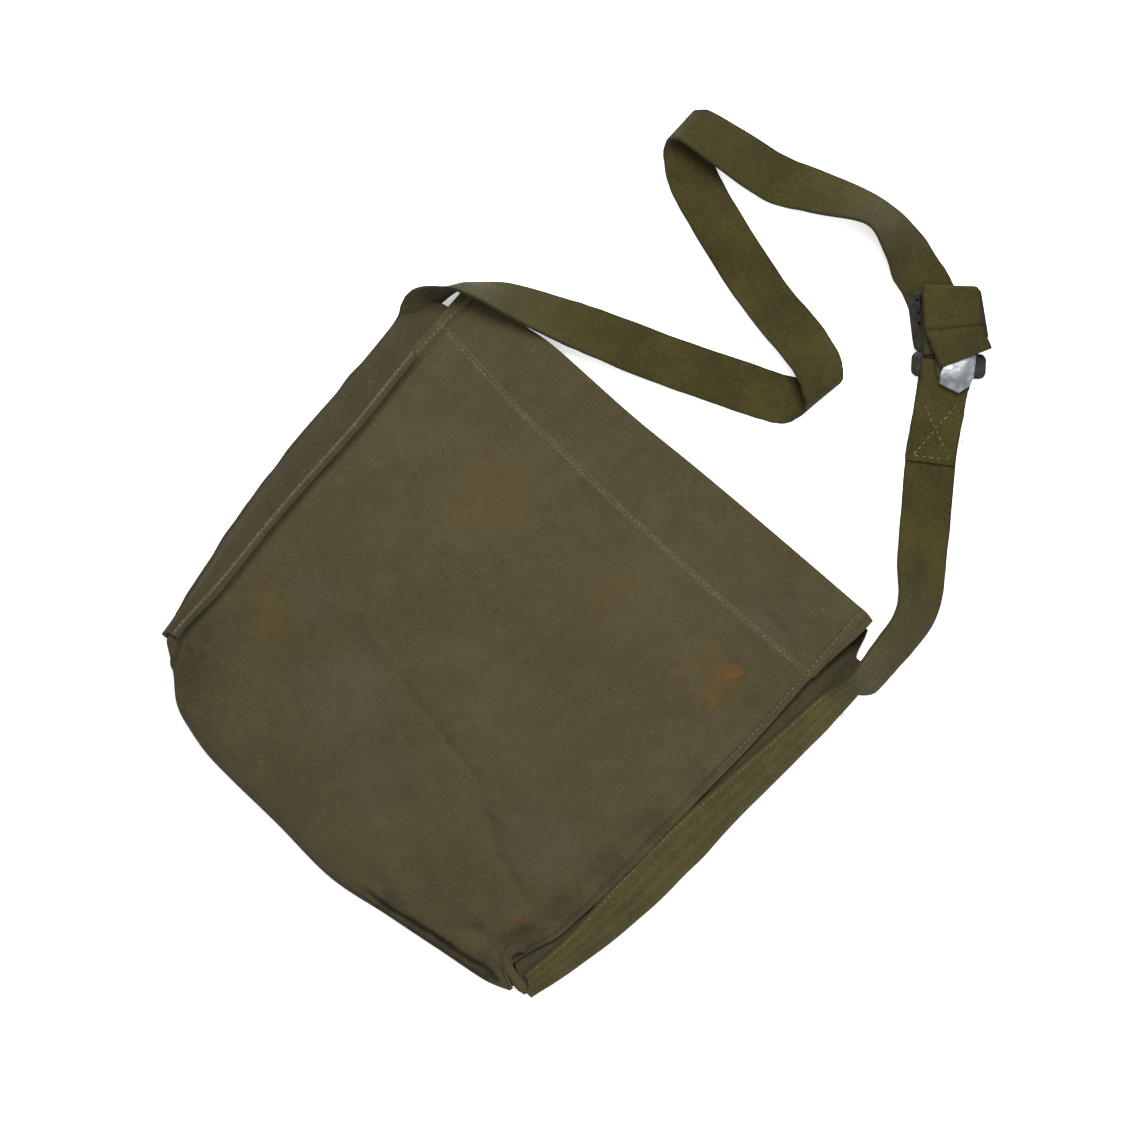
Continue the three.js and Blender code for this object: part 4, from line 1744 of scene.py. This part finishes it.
@dataclass
class Sewing:
    """All the stitch lines of the bag."""

    STEPS = 100
    HEM_STEPS = 120
    BOX_STEPS = 12

    form: BagForm
    strap: ShortStrap

    def hem(self) -> list[Anchor]:
        """Follow the hem line of the mouth.

        Returns:
            Anchors from the left seam to the right one.
        """
        anchors = []
        for i in range(self.HEM_STEPS + 1):
            across = lerp(HEM_SHARES[0], HEM_SHARES[-1], i / self.HEM_STEPS)
            y = self.form.panel["hem"](across)
            z = self.form.front_height(across, y) + 0.35
            anchors.append(Anchor(Vector((self.form.front_x(across, y), y, z)), UP))
        return anchors

    def left_seam(self) -> list[Anchor]:
        """Follow the left seam from the bottom to the hem.

        Returns:
            Anchors along the lap of the left gusset.
        """
        grid = self.form.sections[Side.LEFT]
        anchors = []
        for i in range(self.STEPS + 1):
            y = lerp(SEAM_HEIGHTS[0], SEAM_HEIGHTS[-1], i / self.STEPS)
            share = grid.share_at(self.form.seam["left"](y), y, 0.0, 0.35)
            anchors.append(Anchor(grid.off(share, y, CANVAS / 2 + 0.1), UP))
        return anchors

    def on_front(self, points: Sequence[tuple[float, float]], steps: int = 40) -> list[Anchor]:
        """Lay a line on the front's face.

        Args:
            points: Places of the line in plan.
            steps: Anchors on each of its parts.

        Returns:
            The anchors.
        """
        anchors = []
        for (x0, y0), (x1, y1) in zip(points, points[1:]):
            for i in range(steps):
                x, y = lerp(x0, x1, i / steps), lerp(y0, y1, i / steps)
                z = self.form.front_height(self.form.across_at(x, y), y) + 0.3
                anchors.append(Anchor(Vector((x, y, z)), UP))
        return anchors

    def right_seam(self) -> list[Anchor]:
        """Follow the right seam.

        Returns:
            Anchors from the mouth down.
        """
        points = [(self.form.seam["right"](y), y) for y in range(150, 0, -10)]
        return self.on_front(points, 4)

    def webbing_edge(self, across: float) -> list[Anchor]:
        """Follow an edge of the sewn webbing.

        Args:
            across: Share across the webbing.

        Returns:
            Anchors from the bottom up.
        """
        anchors = []
        lift = CANVAS / 2 + SEWN_GAP + WEBBING
        for i in range(self.STEPS + 1):
            y = lerp(self.strap.start + 3, self.strap.end, i / self.STEPS)
            point = self.strap.sewn(across, y, lift + 0.1)
            out = (point - self.strap.sewn(across, y, lift - 0.4)).normalized()
            anchors.append(Anchor(point, out))
        return anchors

    def strap_box(self) -> list[list[Anchor]]:
        """Follow the crossed box that holds the strap's end at the buckle.

        Returns:
            One list of anchors for each straight row.
        """
        low_left, low_right = (127.2, 253.8), (148.2, 266.3)
        high_left, high_right = (112.5, 284.5), (129.5, 297)
        rows = []
        pairs = ((low_left, low_right), (low_left, high_right), (low_right, high_left))
        for start, end in pairs:
            row = []
            for i in range(self.BOX_STEPS + 1):
                share = i / self.BOX_STEPS
                x, y = lerp(start[0], end[0], share), lerp(start[1], end[1], share)
                z = 4.3 + 1.5 * smoothstep(y, 283, 299)
                row.append(Anchor(Vector((x, y, z)), UP))
            rows.append(row)
        return rows

    def build(self, thread: bpy.types.Material, webbing_thread: bpy.types.Material) -> None:
        """Sew all the rows.

        Args:
            thread: Material of the canvas's thread.
            webbing_thread: Material of the webbing's thread.
        """
        hem_side = self.on_front(((-169, 105), (-167, 128), (-165, 152)))
        rows = (
            ("hem_stitches", self.hem(), 3.5, 3.6, 0.9),
            ("left_seam_stitches", self.left_seam(), 4.1, 3.9, 1.0),
            ("left_hem_stitches", hem_side, 3.8, 3.4, 0.85),
            ("right_seam_stitches", self.right_seam(), 3.9, 3.7, 0.85),
        )
        for row in rows:
            StitchLine(self.form, *row).build(thread)
        rows = [
            ("inner_webbing_stitches", self.webbing_edge(0.06), 3.9, 2.8, 0.7),
            ("outer_webbing_stitches", self.webbing_edge(0.9), 3.9, 2.8, 0.7),
        ]
        for i, anchors in enumerate(self.strap_box()):
            rows.append((f"box_stitches_{i}", anchors, 4.2, 3.6, 1.05))
        for row in rows:
            StitchLine(self.form, *row, Slot.WEBBING).build(webbing_thread)


@dataclass
class Buckle(Piece):
    """Blackened frame of the buckle, on its own axes, leaning towards its lower bar."""

    thickness: float = 2.2
    top: float = -20.0
    lower: float = 17.0
    top_height: float = 9.1
    lower_height: float = 3.7
    outer: tuple[tuple[float, float], ...] = (
        (-21.6, -19), (-20.6, -22.2), (-17, -23.6), (9, -22.8), (15, -22.2), (18, -19.5), (18.6, -10),
        (18.6, 10), (18.6, 22), (17.4, 26), (11, 27), (-17, 24.8), (-20.6, 22.4), (-21.6, 18),
    )
    inner: tuple[tuple[float, float], ...] = (
        (-18.6, -13), (-17.6, -15), (-14, -15.4), (8, -15.2), (13.6, -15), (15.4, -13.4), (15.6, -9),
        (15.6, 9), (15.6, 18), (14.4, 20.6), (10, 21.2), (-15, 18.4), (-17.8, 17.4), (-18.6, 15),
    )
    holes: tuple[tuple[float, float], ...] = ((-16, -17.4), (-7.6, -17.4), (-0.9, -17.2))
    hole_radius: float = 1.0

    def place(self, along: float, across: float, off: float) -> Vector:
        """Place a point of the frame.

        Args:
            along: Distance down the buckle.
            across: Distance across it.
            off: Distance off the frame's mid plane.

        Returns:
            The point in metres.
        """
        share = (along - self.top) / (self.lower - self.top)
        z = lerp(self.top_height, self.lower_height, share) + off
        return BuckleAxes().point(along, across, z) * MM

    def build(self, finish: bpy.types.Material) -> None:
        """Make the frame.

        Args:
            finish: Its material.
        """
        low = -self.thickness / 2
        outlines = [[self.place(*spot, low) for spot in outline] for outline in (self.outer, self.inner)]
        steel = Mesher.made(self.name, MetalEdges.plate(outlines, self.thickness, 0.7))
        self.drill(steel)
        self.own(steel, finish, Slot.BLACK_STEEL, "buckle_frame")

    def drill(self, steel: bpy.types.Object) -> None:
        """Cut the small holes of the left rail.

        Args:
            steel: The frame.
        """
        bm = bmesh.new()
        for along, across in self.holes:
            spot = Matrix.Translation(self.place(along, across, 0))
            size = self.hole_radius * MM
            bmesh.ops.create_cone(
                bm, cap_ends=True, segments=16, radius1=size, radius2=size, depth=8 * MM, matrix=spot
            )
        drill = Mesher.made("drill", bm)
        cut = steel.modifiers.new("Holes", "BOOLEAN")
        cut.object = drill
        bpy.context.view_layer.update()
        evaluated = steel.evaluated_get(bpy.context.evaluated_depsgraph_get())
        mesh = bpy.data.meshes.new_from_object(evaluated)
        steel.modifiers.clear()
        steel.data = mesh
        mesh.shade_smooth()
        mesh.set_sharp_from_angle(angle=SHARP_STEEL)
        bpy.data.objects.remove(drill)


@dataclass
class BarPlate(Piece):
    """Blackened plate with round corners: the short strap goes through its slot and round its lower bar."""

    x: float = 109.0
    y: float = 314.8
    z: float = 3.35
    bearing: float = 35.6
    thickness: float = 2.2

    def outline(self, length: float, top: float, low: float, corner: float) -> list[Vector]:
        """Outline a rectangle with round corners on the plate.

        Args:
            length: Length over all.
            top: Upper edge, down the plate from its middle.
            low: Lower edge.
            corner: Radius of its corners.

        Returns:
            Points of the outline in metres.
        """
        turn = math.radians(self.bearing)
        cos, sin = math.cos(turn), math.sin(turn)
        reach = length / 2 - corner
        low, top = low - corner, top + corner
        points = []
        for quarter, (middle, down) in enumerate(((reach, low), (reach, top), (-reach, top), (-reach, low))):
            for i in range(7):
                angle = math.radians(90 * quarter - 90 + 15 * i)
                along, aside = middle + corner * math.cos(angle), -down + corner * math.sin(angle)
                spot = (self.x + along * cos - aside * sin, self.y + along * sin + aside * cos)
                points.append(Vector((*spot, self.z - self.thickness / 2)) * MM)
        return points

    def build(self, finish: bpy.types.Material) -> None:
        """Make the plate.

        Args:
            finish: Its material.
        """
        outlines = (self.outline(49, -8, 8.4, 4.6), self.outline(36, -3.6, -1.0, 1.0))
        plate = Mesher.made(self.name, MetalEdges.plate(outlines, self.thickness, 0.6))
        plate.data.set_sharp_from_angle(angle=SHARP_STEEL)
        self.own(plate, finish, Slot.BLACK_STEEL, "buckle_bar")


class MetalEdges:
    """Turns flat metal outlines into plates."""

    SHARP = math.radians(50)

    @staticmethod
    def plate(outlines: Sequence[Sequence[Vector]], thickness: float, rounding: float) -> bmesh.types.BMesh:
        """Make a plate with a window.

        Args:
            outlines: Points in metres round its lower face and round the window.
            thickness: Thickness in millimetres.
            rounding: Size of the rounding in millimetres.

        Returns:
            The plate.
        """
        bm = bmesh.new()
        for outline in outlines:
            ring = [bm.verts.new(point) for point in outline]
            for a, b in zip(ring, ring[1:] + ring[:1]):
                bm.edges.new((a, b))
        bmesh.ops.bridge_loops(bm, edges=bm.edges[:])
        MetalEdges.raise_and_round(bm, thickness, rounding)
        return bm

    @staticmethod
    def raise_and_round(bm: bmesh.types.BMesh, thickness: float, rounding: float) -> None:
        """Extrude flat faces upwards and round the plate's sharp edges.

        Args:
            bm: Flat faces.
            thickness: Thickness in millimetres.
            rounding: Size of the rounding in millimetres.
        """
        raised = bmesh.ops.extrude_face_region(bm, geom=bm.faces[:])
        verts = [item for item in raised["geom"] if isinstance(item, bmesh.types.BMVert)]
        bmesh.ops.translate(bm, verts=verts, vec=(0, 0, thickness * MM))
        bmesh.ops.recalc_face_normals(bm, faces=bm.faces[:])
        sharp = [edge for edge in bm.edges if edge.calc_face_angle(0) > MetalEdges.SHARP]
        bmesh.ops.bevel(
            bm, geom=sharp, offset=rounding * MM, segments=3, profile=0.5, affect="EDGES", material=-1,
            offset_type="OFFSET",
        )


@dataclass
class StrapTip(Piece):
    """Bright pointed tip on the tail of the long strap."""

    outline: tuple[tuple[float, float], ...] = (
        (104.2, 319.5), (107.6, 306.5), (111.5, 300.5), (125.3, 303.3),
        (128, 311.9), (126.7, 318), (121.7, 326.3), (118.5, 331),
    )
    z: float = 9.0
    thickness: float = 2.8

    def build(self, finish: bpy.types.Material) -> None:
        """Make the tip.

        Args:
            finish: Its material.
        """
        bm = bmesh.new()
        low = self.z - self.thickness / 2
        bm.faces.new([bm.verts.new(Vector((x, y, low)) * MM) for x, y in self.outline])
        MetalEdges.raise_and_round(bm, self.thickness, 1.0)
        tip = Mesher.made(self.name, bm)
        tip.data.set_sharp_from_angle(angle=math.radians(24))
        self.own(tip, finish, Slot.BRIGHT_STEEL, "strap_tip")


@dataclass
class CornerRoll(Piece):
    """Rolled end of the right seam at the bag's bottom corner."""

    path: tuple[tuple[float, float, float], ...] = (
        (127.5, -156.5, 12.4), (122.8, -158, 13.2), (120.4, -163, 13.4), (121.6, -168.6, 12.6),
        (126, -172.4, 11.2), (132, -175, 9), (139.4, -177, 6.8), (145.5, -177.8, 5),
    )
    radius: float = 3.5
    opening: float = 55.0
    columns: int = 14
    narrowest: float = 10.0

    def build(self, finish: bpy.types.Material) -> None:
        """Make the roll.

        Args:
            finish: Its material.
        """
        line = spline([Vector(point) for point in self.path], 0.5, 6)
        last = len(line) - 1

        def place(across: float, along: float) -> Vector:
            """Place a vertex of the roll.

            Args:
                across: Share round the roll.
                along: Share along it.

            Returns:
                The vertex in millimetres.
            """
            i = round(along * last)
            ahead = (line[min(i + 1, last)] - line[max(i - 1, 0)]).normalized()
            aside = UP.cross(ahead).normalized()
            turn = math.radians(lerp(self.opening - 90, 270 - self.opening, across))
            size = self.radius * lerp(0.75, 1, smoothstep(min(i, last - i) / last, 0, 0.12))
            return line[i] + (aside * math.cos(turn) + ahead.cross(aside) * math.sin(turn)) * size

        width = self.radius * math.radians(360 - 2 * self.opening)
        flat = (max(width, self.narrowest) * MM, measured(line)[-1] * MM)
        roll = Mesher.sheet(self.name, self.columns, last, place, flat)
        Mesher.thicken(roll, CANVAS, -1, 0.2)
        self.own(roll, finish, Slot.CANVAS, None)


class Tube:
    """Makes closed tubes."""

    @staticmethod
    def add(bm: bmesh.types.BMesh, points: Sequence[Vector], radius: float, sides: int) -> None:
        """Add a closed tube along points, thinner towards its ends.

        Args:
            bm: Where to add it.
            points: Its middle line in millimetres.
            radius: Its radius in millimetres.
            sides: Its number of sides.
        """
        rings = []
        last = len(points) - 1
        for i, point in enumerate(points):
            along = (points[min(i + 1, last)] - points[max(i - 1, 0)]).normalized()
            turn = along.to_track_quat("Z", "Y").to_matrix().to_4x4()
            spot = Matrix.Translation(point * MM) @ turn
            size = radius * (0.55 + 0.45 * min(i, last - i, 3) / 3)
            ring = bmesh.ops.create_circle(
                bm, cap_ends=i in (0, last), segments=sides, radius=size * MM, matrix=spot
            )
            rings.append(ring["verts"])
        for a, b in zip(rings, rings[1:]):
            both = set(a) | set(b)
            edges = {edge for vert in both for edge in vert.link_edges if edge.other_vert(vert) in both}
            own = [edge for edge in edges if (edge.verts[0] in a) == (edge.verts[1] in a)]
            bmesh.ops.bridge_loops(bm, edges=own)
        bmesh.ops.recalc_face_normals(bm, faces=bm.faces[:])


@dataclass
class LooseThreads(Piece):
    """Frayed ends of thread at the straps' edges."""

    ends: tuple[tuple[float, float, float, float, float], ...] = (
        (146, 283, 3.5, 20, 4.5),
        (145.6, 282, 3.0, -30, 3.5),
        (117.6, 263, 3.0, 205, 3.5),
        (122, 252.4, 3.0, 215, 4.0),
        (195, 93.5, 6.0, -15, 5.0),
        (194.6, 92.6, 5.0, -60, 4.0),
    )
    radius: float = 0.32

    def build(self, finish: bpy.types.Material) -> None:
        """Make the threads.

        Args:
            finish: Their material.
        """
        bm = bmesh.new()
        for i, (x, y, z, bearing, length) in enumerate(self.ends):
            turn = math.radians(bearing)
            points = []
            for k in range(7):
                share = k / 6
                bend = turn + 0.35 * math.sin(1.2 * share * math.pi + i)
                reach = length * share
                rise = share * (1 - share) * 3
                points.append(Vector((x + math.cos(bend) * reach, y + math.sin(bend) * reach, z + rise)))
            Tube.add(bm, points, self.radius, 6)
        threads = Mesher.made(self.name, bm)
        self.own(threads, finish, Slot.WEBBING, None)


@dataclass
class Studio:
    """Floor, light and camera."""

    span: float = PIXELS * PIXEL
    sensor: float = 36.0
    centre: tuple[float, float] = (-9.5, 57.1)
    turn: float = 38.2
    height: float = 2.4
    exposure: float = 0.24
    sky: float = 0.6
    glow: float = 0.4
    aim: tuple[float, float, float] = (0.0, 0.06, 0.0)

    def camera(self) -> None:
        """Put the camera straight above the bag."""
        data = bpy.data.cameras.new("camera")
        data.sensor_width = self.sensor
        data.lens = self.sensor * self.height / (self.span * MM)
        camera = bpy.data.objects.new("camera", data)
        camera.location = (self.centre[0] * MM, self.centre[1] * MM, self.height)
        camera.rotation_euler = (0, 0, math.radians(self.turn))
        bpy.context.scene.collection.objects.link(camera)
        bpy.context.scene.camera = camera

    def build(self) -> None:
        """Lay the floor and hang the lights."""
        bm = bmesh.new()
        bmesh.ops.create_grid(bm, x_segments=1, y_segments=1, size=4)
        floor = Mesher.made("floor", bm)
        g = Graph("pale_floor")
        tone = g.span(g.noise(3, 2), 0.3, 0.7)
        floor.data.materials.append(
            g.finish(
                Base_Color=g.mix(tone, (0.93, 0.93, 0.93, 1), (0.95, 0.95, 0.95, 1)),
                Roughness=0.9,
                Specular_IOR_Level=0.0,
                Emission_Color=(1, 1, 1, 1),
                Emission_Strength=self.glow,
            )
        )
        world = bpy.data.worlds.new("studio")
        world.use_nodes = True
        background = world.node_tree.nodes["Background"]
        background.inputs["Color"].default_value = (1, 1, 1, 1)
        background.inputs["Strength"].default_value = self.sky
        bpy.context.scene.world = world
        self.lamp("key", (-0.5, 0.9, 1.75), 0.8, 46)
        self.lamp("fill", (0.9, 0.2, 1.6), 1.4, 9)
        view = bpy.context.scene.view_settings
        view.view_transform = "Standard"
        view.exposure = self.exposure

    def lamp(self, name: str, spot: tuple[float, float, float], size: float, power: float) -> None:
        """Hang a soft square lamp that faces the bag.

        Args:
            name: Name of the lamp.
            spot: Where it hangs in metres.
            size: Its side in metres.
            power: Its power in watts.
        """
        data = bpy.data.lights.new(name, "AREA")
        data.size = size
        data.energy = power
        lamp = bpy.data.objects.new(name, data)
        lamp.location = spot
        ahead = Vector(self.aim) - Vector(spot)
        lamp.rotation_euler = ahead.to_track_quat("-Z", "Y").to_euler()
        bpy.context.scene.collection.objects.link(lamp)


def canvas_finishes(form: BagForm) -> tuple[bpy.types.Material, bpy.types.Material]:
    """Make the canvas, with pale lines along its stitches, partly wear and partly painted highlight, and
    painted shade along its folded edges.

    Args:
        form: The bag.

    Returns:
        Materials of the body and of the side gussets.
    """
    hem = [(form.front_x(share, form.panel["hem"](share)), form.panel["hem"](share)) for share in HEM_SHARES]
    fold = [(form.front_x(row.across, row.bottom), row.bottom) for row in PANEL]
    seam = [(form.seam["left"](y), y) for y in SEAM_HEIGHTS]
    edge = [(form.seam["left_edge"](y), y) for y in SEAM_HEIGHTS]
    # Painted shade at given spots and along the bottom fold, and pale lines along the hem.
    body = CanvasFinish(
        shade=SHADE_SPOTS, streaks=lines_along(hem, 1.4, 1.1, 0.3), fold_shade=lines_along(fold, 0, 3.2, 0.5)
    )
    # The gussets get a darker copy of the canvas colours, partly their own darker cloth and partly painted
    # shade on the side walls; painted shade also lies inside the mouth's corners and along the left gusset's
    # folded edge, with pale lines along the left seam.
    sides = CanvasFinish(
        "side_canvas", srgb(45, 40, 23), srgb(55, 50, 34), shade=MOUTH_SHADE,
        streaks=lines_along(seam, 0, 1.5, 0.4), fold_shade=lines_along(edge, 0, 2, 0.55),
    )
    return body.material(), sides.material()


def main() -> None:
    """Build the scene."""
    logging.basicConfig(level=logging.INFO, format="%(name)s: %(message)s")
    studio = Studio()
    studio.camera()
    studio.build()
    form = BagForm()
    canvas, side_canvas = canvas_finishes(form)
    webbing = WebbingFinish(shade=STRAP_FOLD_SHADE).material()
    sewn_webbing = WebbingFinish("sewn_webbing", wear=0.75).material()
    steel = SteelFinish().material()
    zinc = ZincFinish().material()
    thread = ThreadFinish("canvas_thread", srgb(68, 64, 46), srgb(92, 88, 66)).material()
    webbing_thread = ThreadFinish("webbing_thread", srgb(68, 64, 32), srgb(96, 90, 50)).material()
    short_strap = ShortStrap(form, "buckle_strap")
    right_gusset = Gusset(
        form, "right_gusset", Side.RIGHT, end=-162, ear=14, top=146, edge_top=127, fall=(0.31, 0.37), drop=12,
        flat=(0.09, 0.25),
    )
    pieces = (
        (BodyCanvas(form, "bag_canvas"), canvas),
        (Gusset(form, "left_gusset"), side_canvas),
        (right_gusset, side_canvas),
        (LongStrap(form, "carrying_strap"), webbing),
        (short_strap, sewn_webbing),
        (Buckle(form, "steel_frame"), steel),
        (BarPlate(form, "steel_bar"), steel),
        (StrapTip(form, "metal_tip"), zinc),
        (CornerRoll(form, "corner_roll"), canvas),
        (LooseThreads(form, "loose_threads"), webbing_thread),
    )
    for piece, finish in pieces:
        piece.build(finish)
        log.info("built %s", piece.name)
    Sewing(form, short_strap).build(thread, webbing_thread)
    log.info("sewed the seams")


if __name__ == "__main__":
    main()
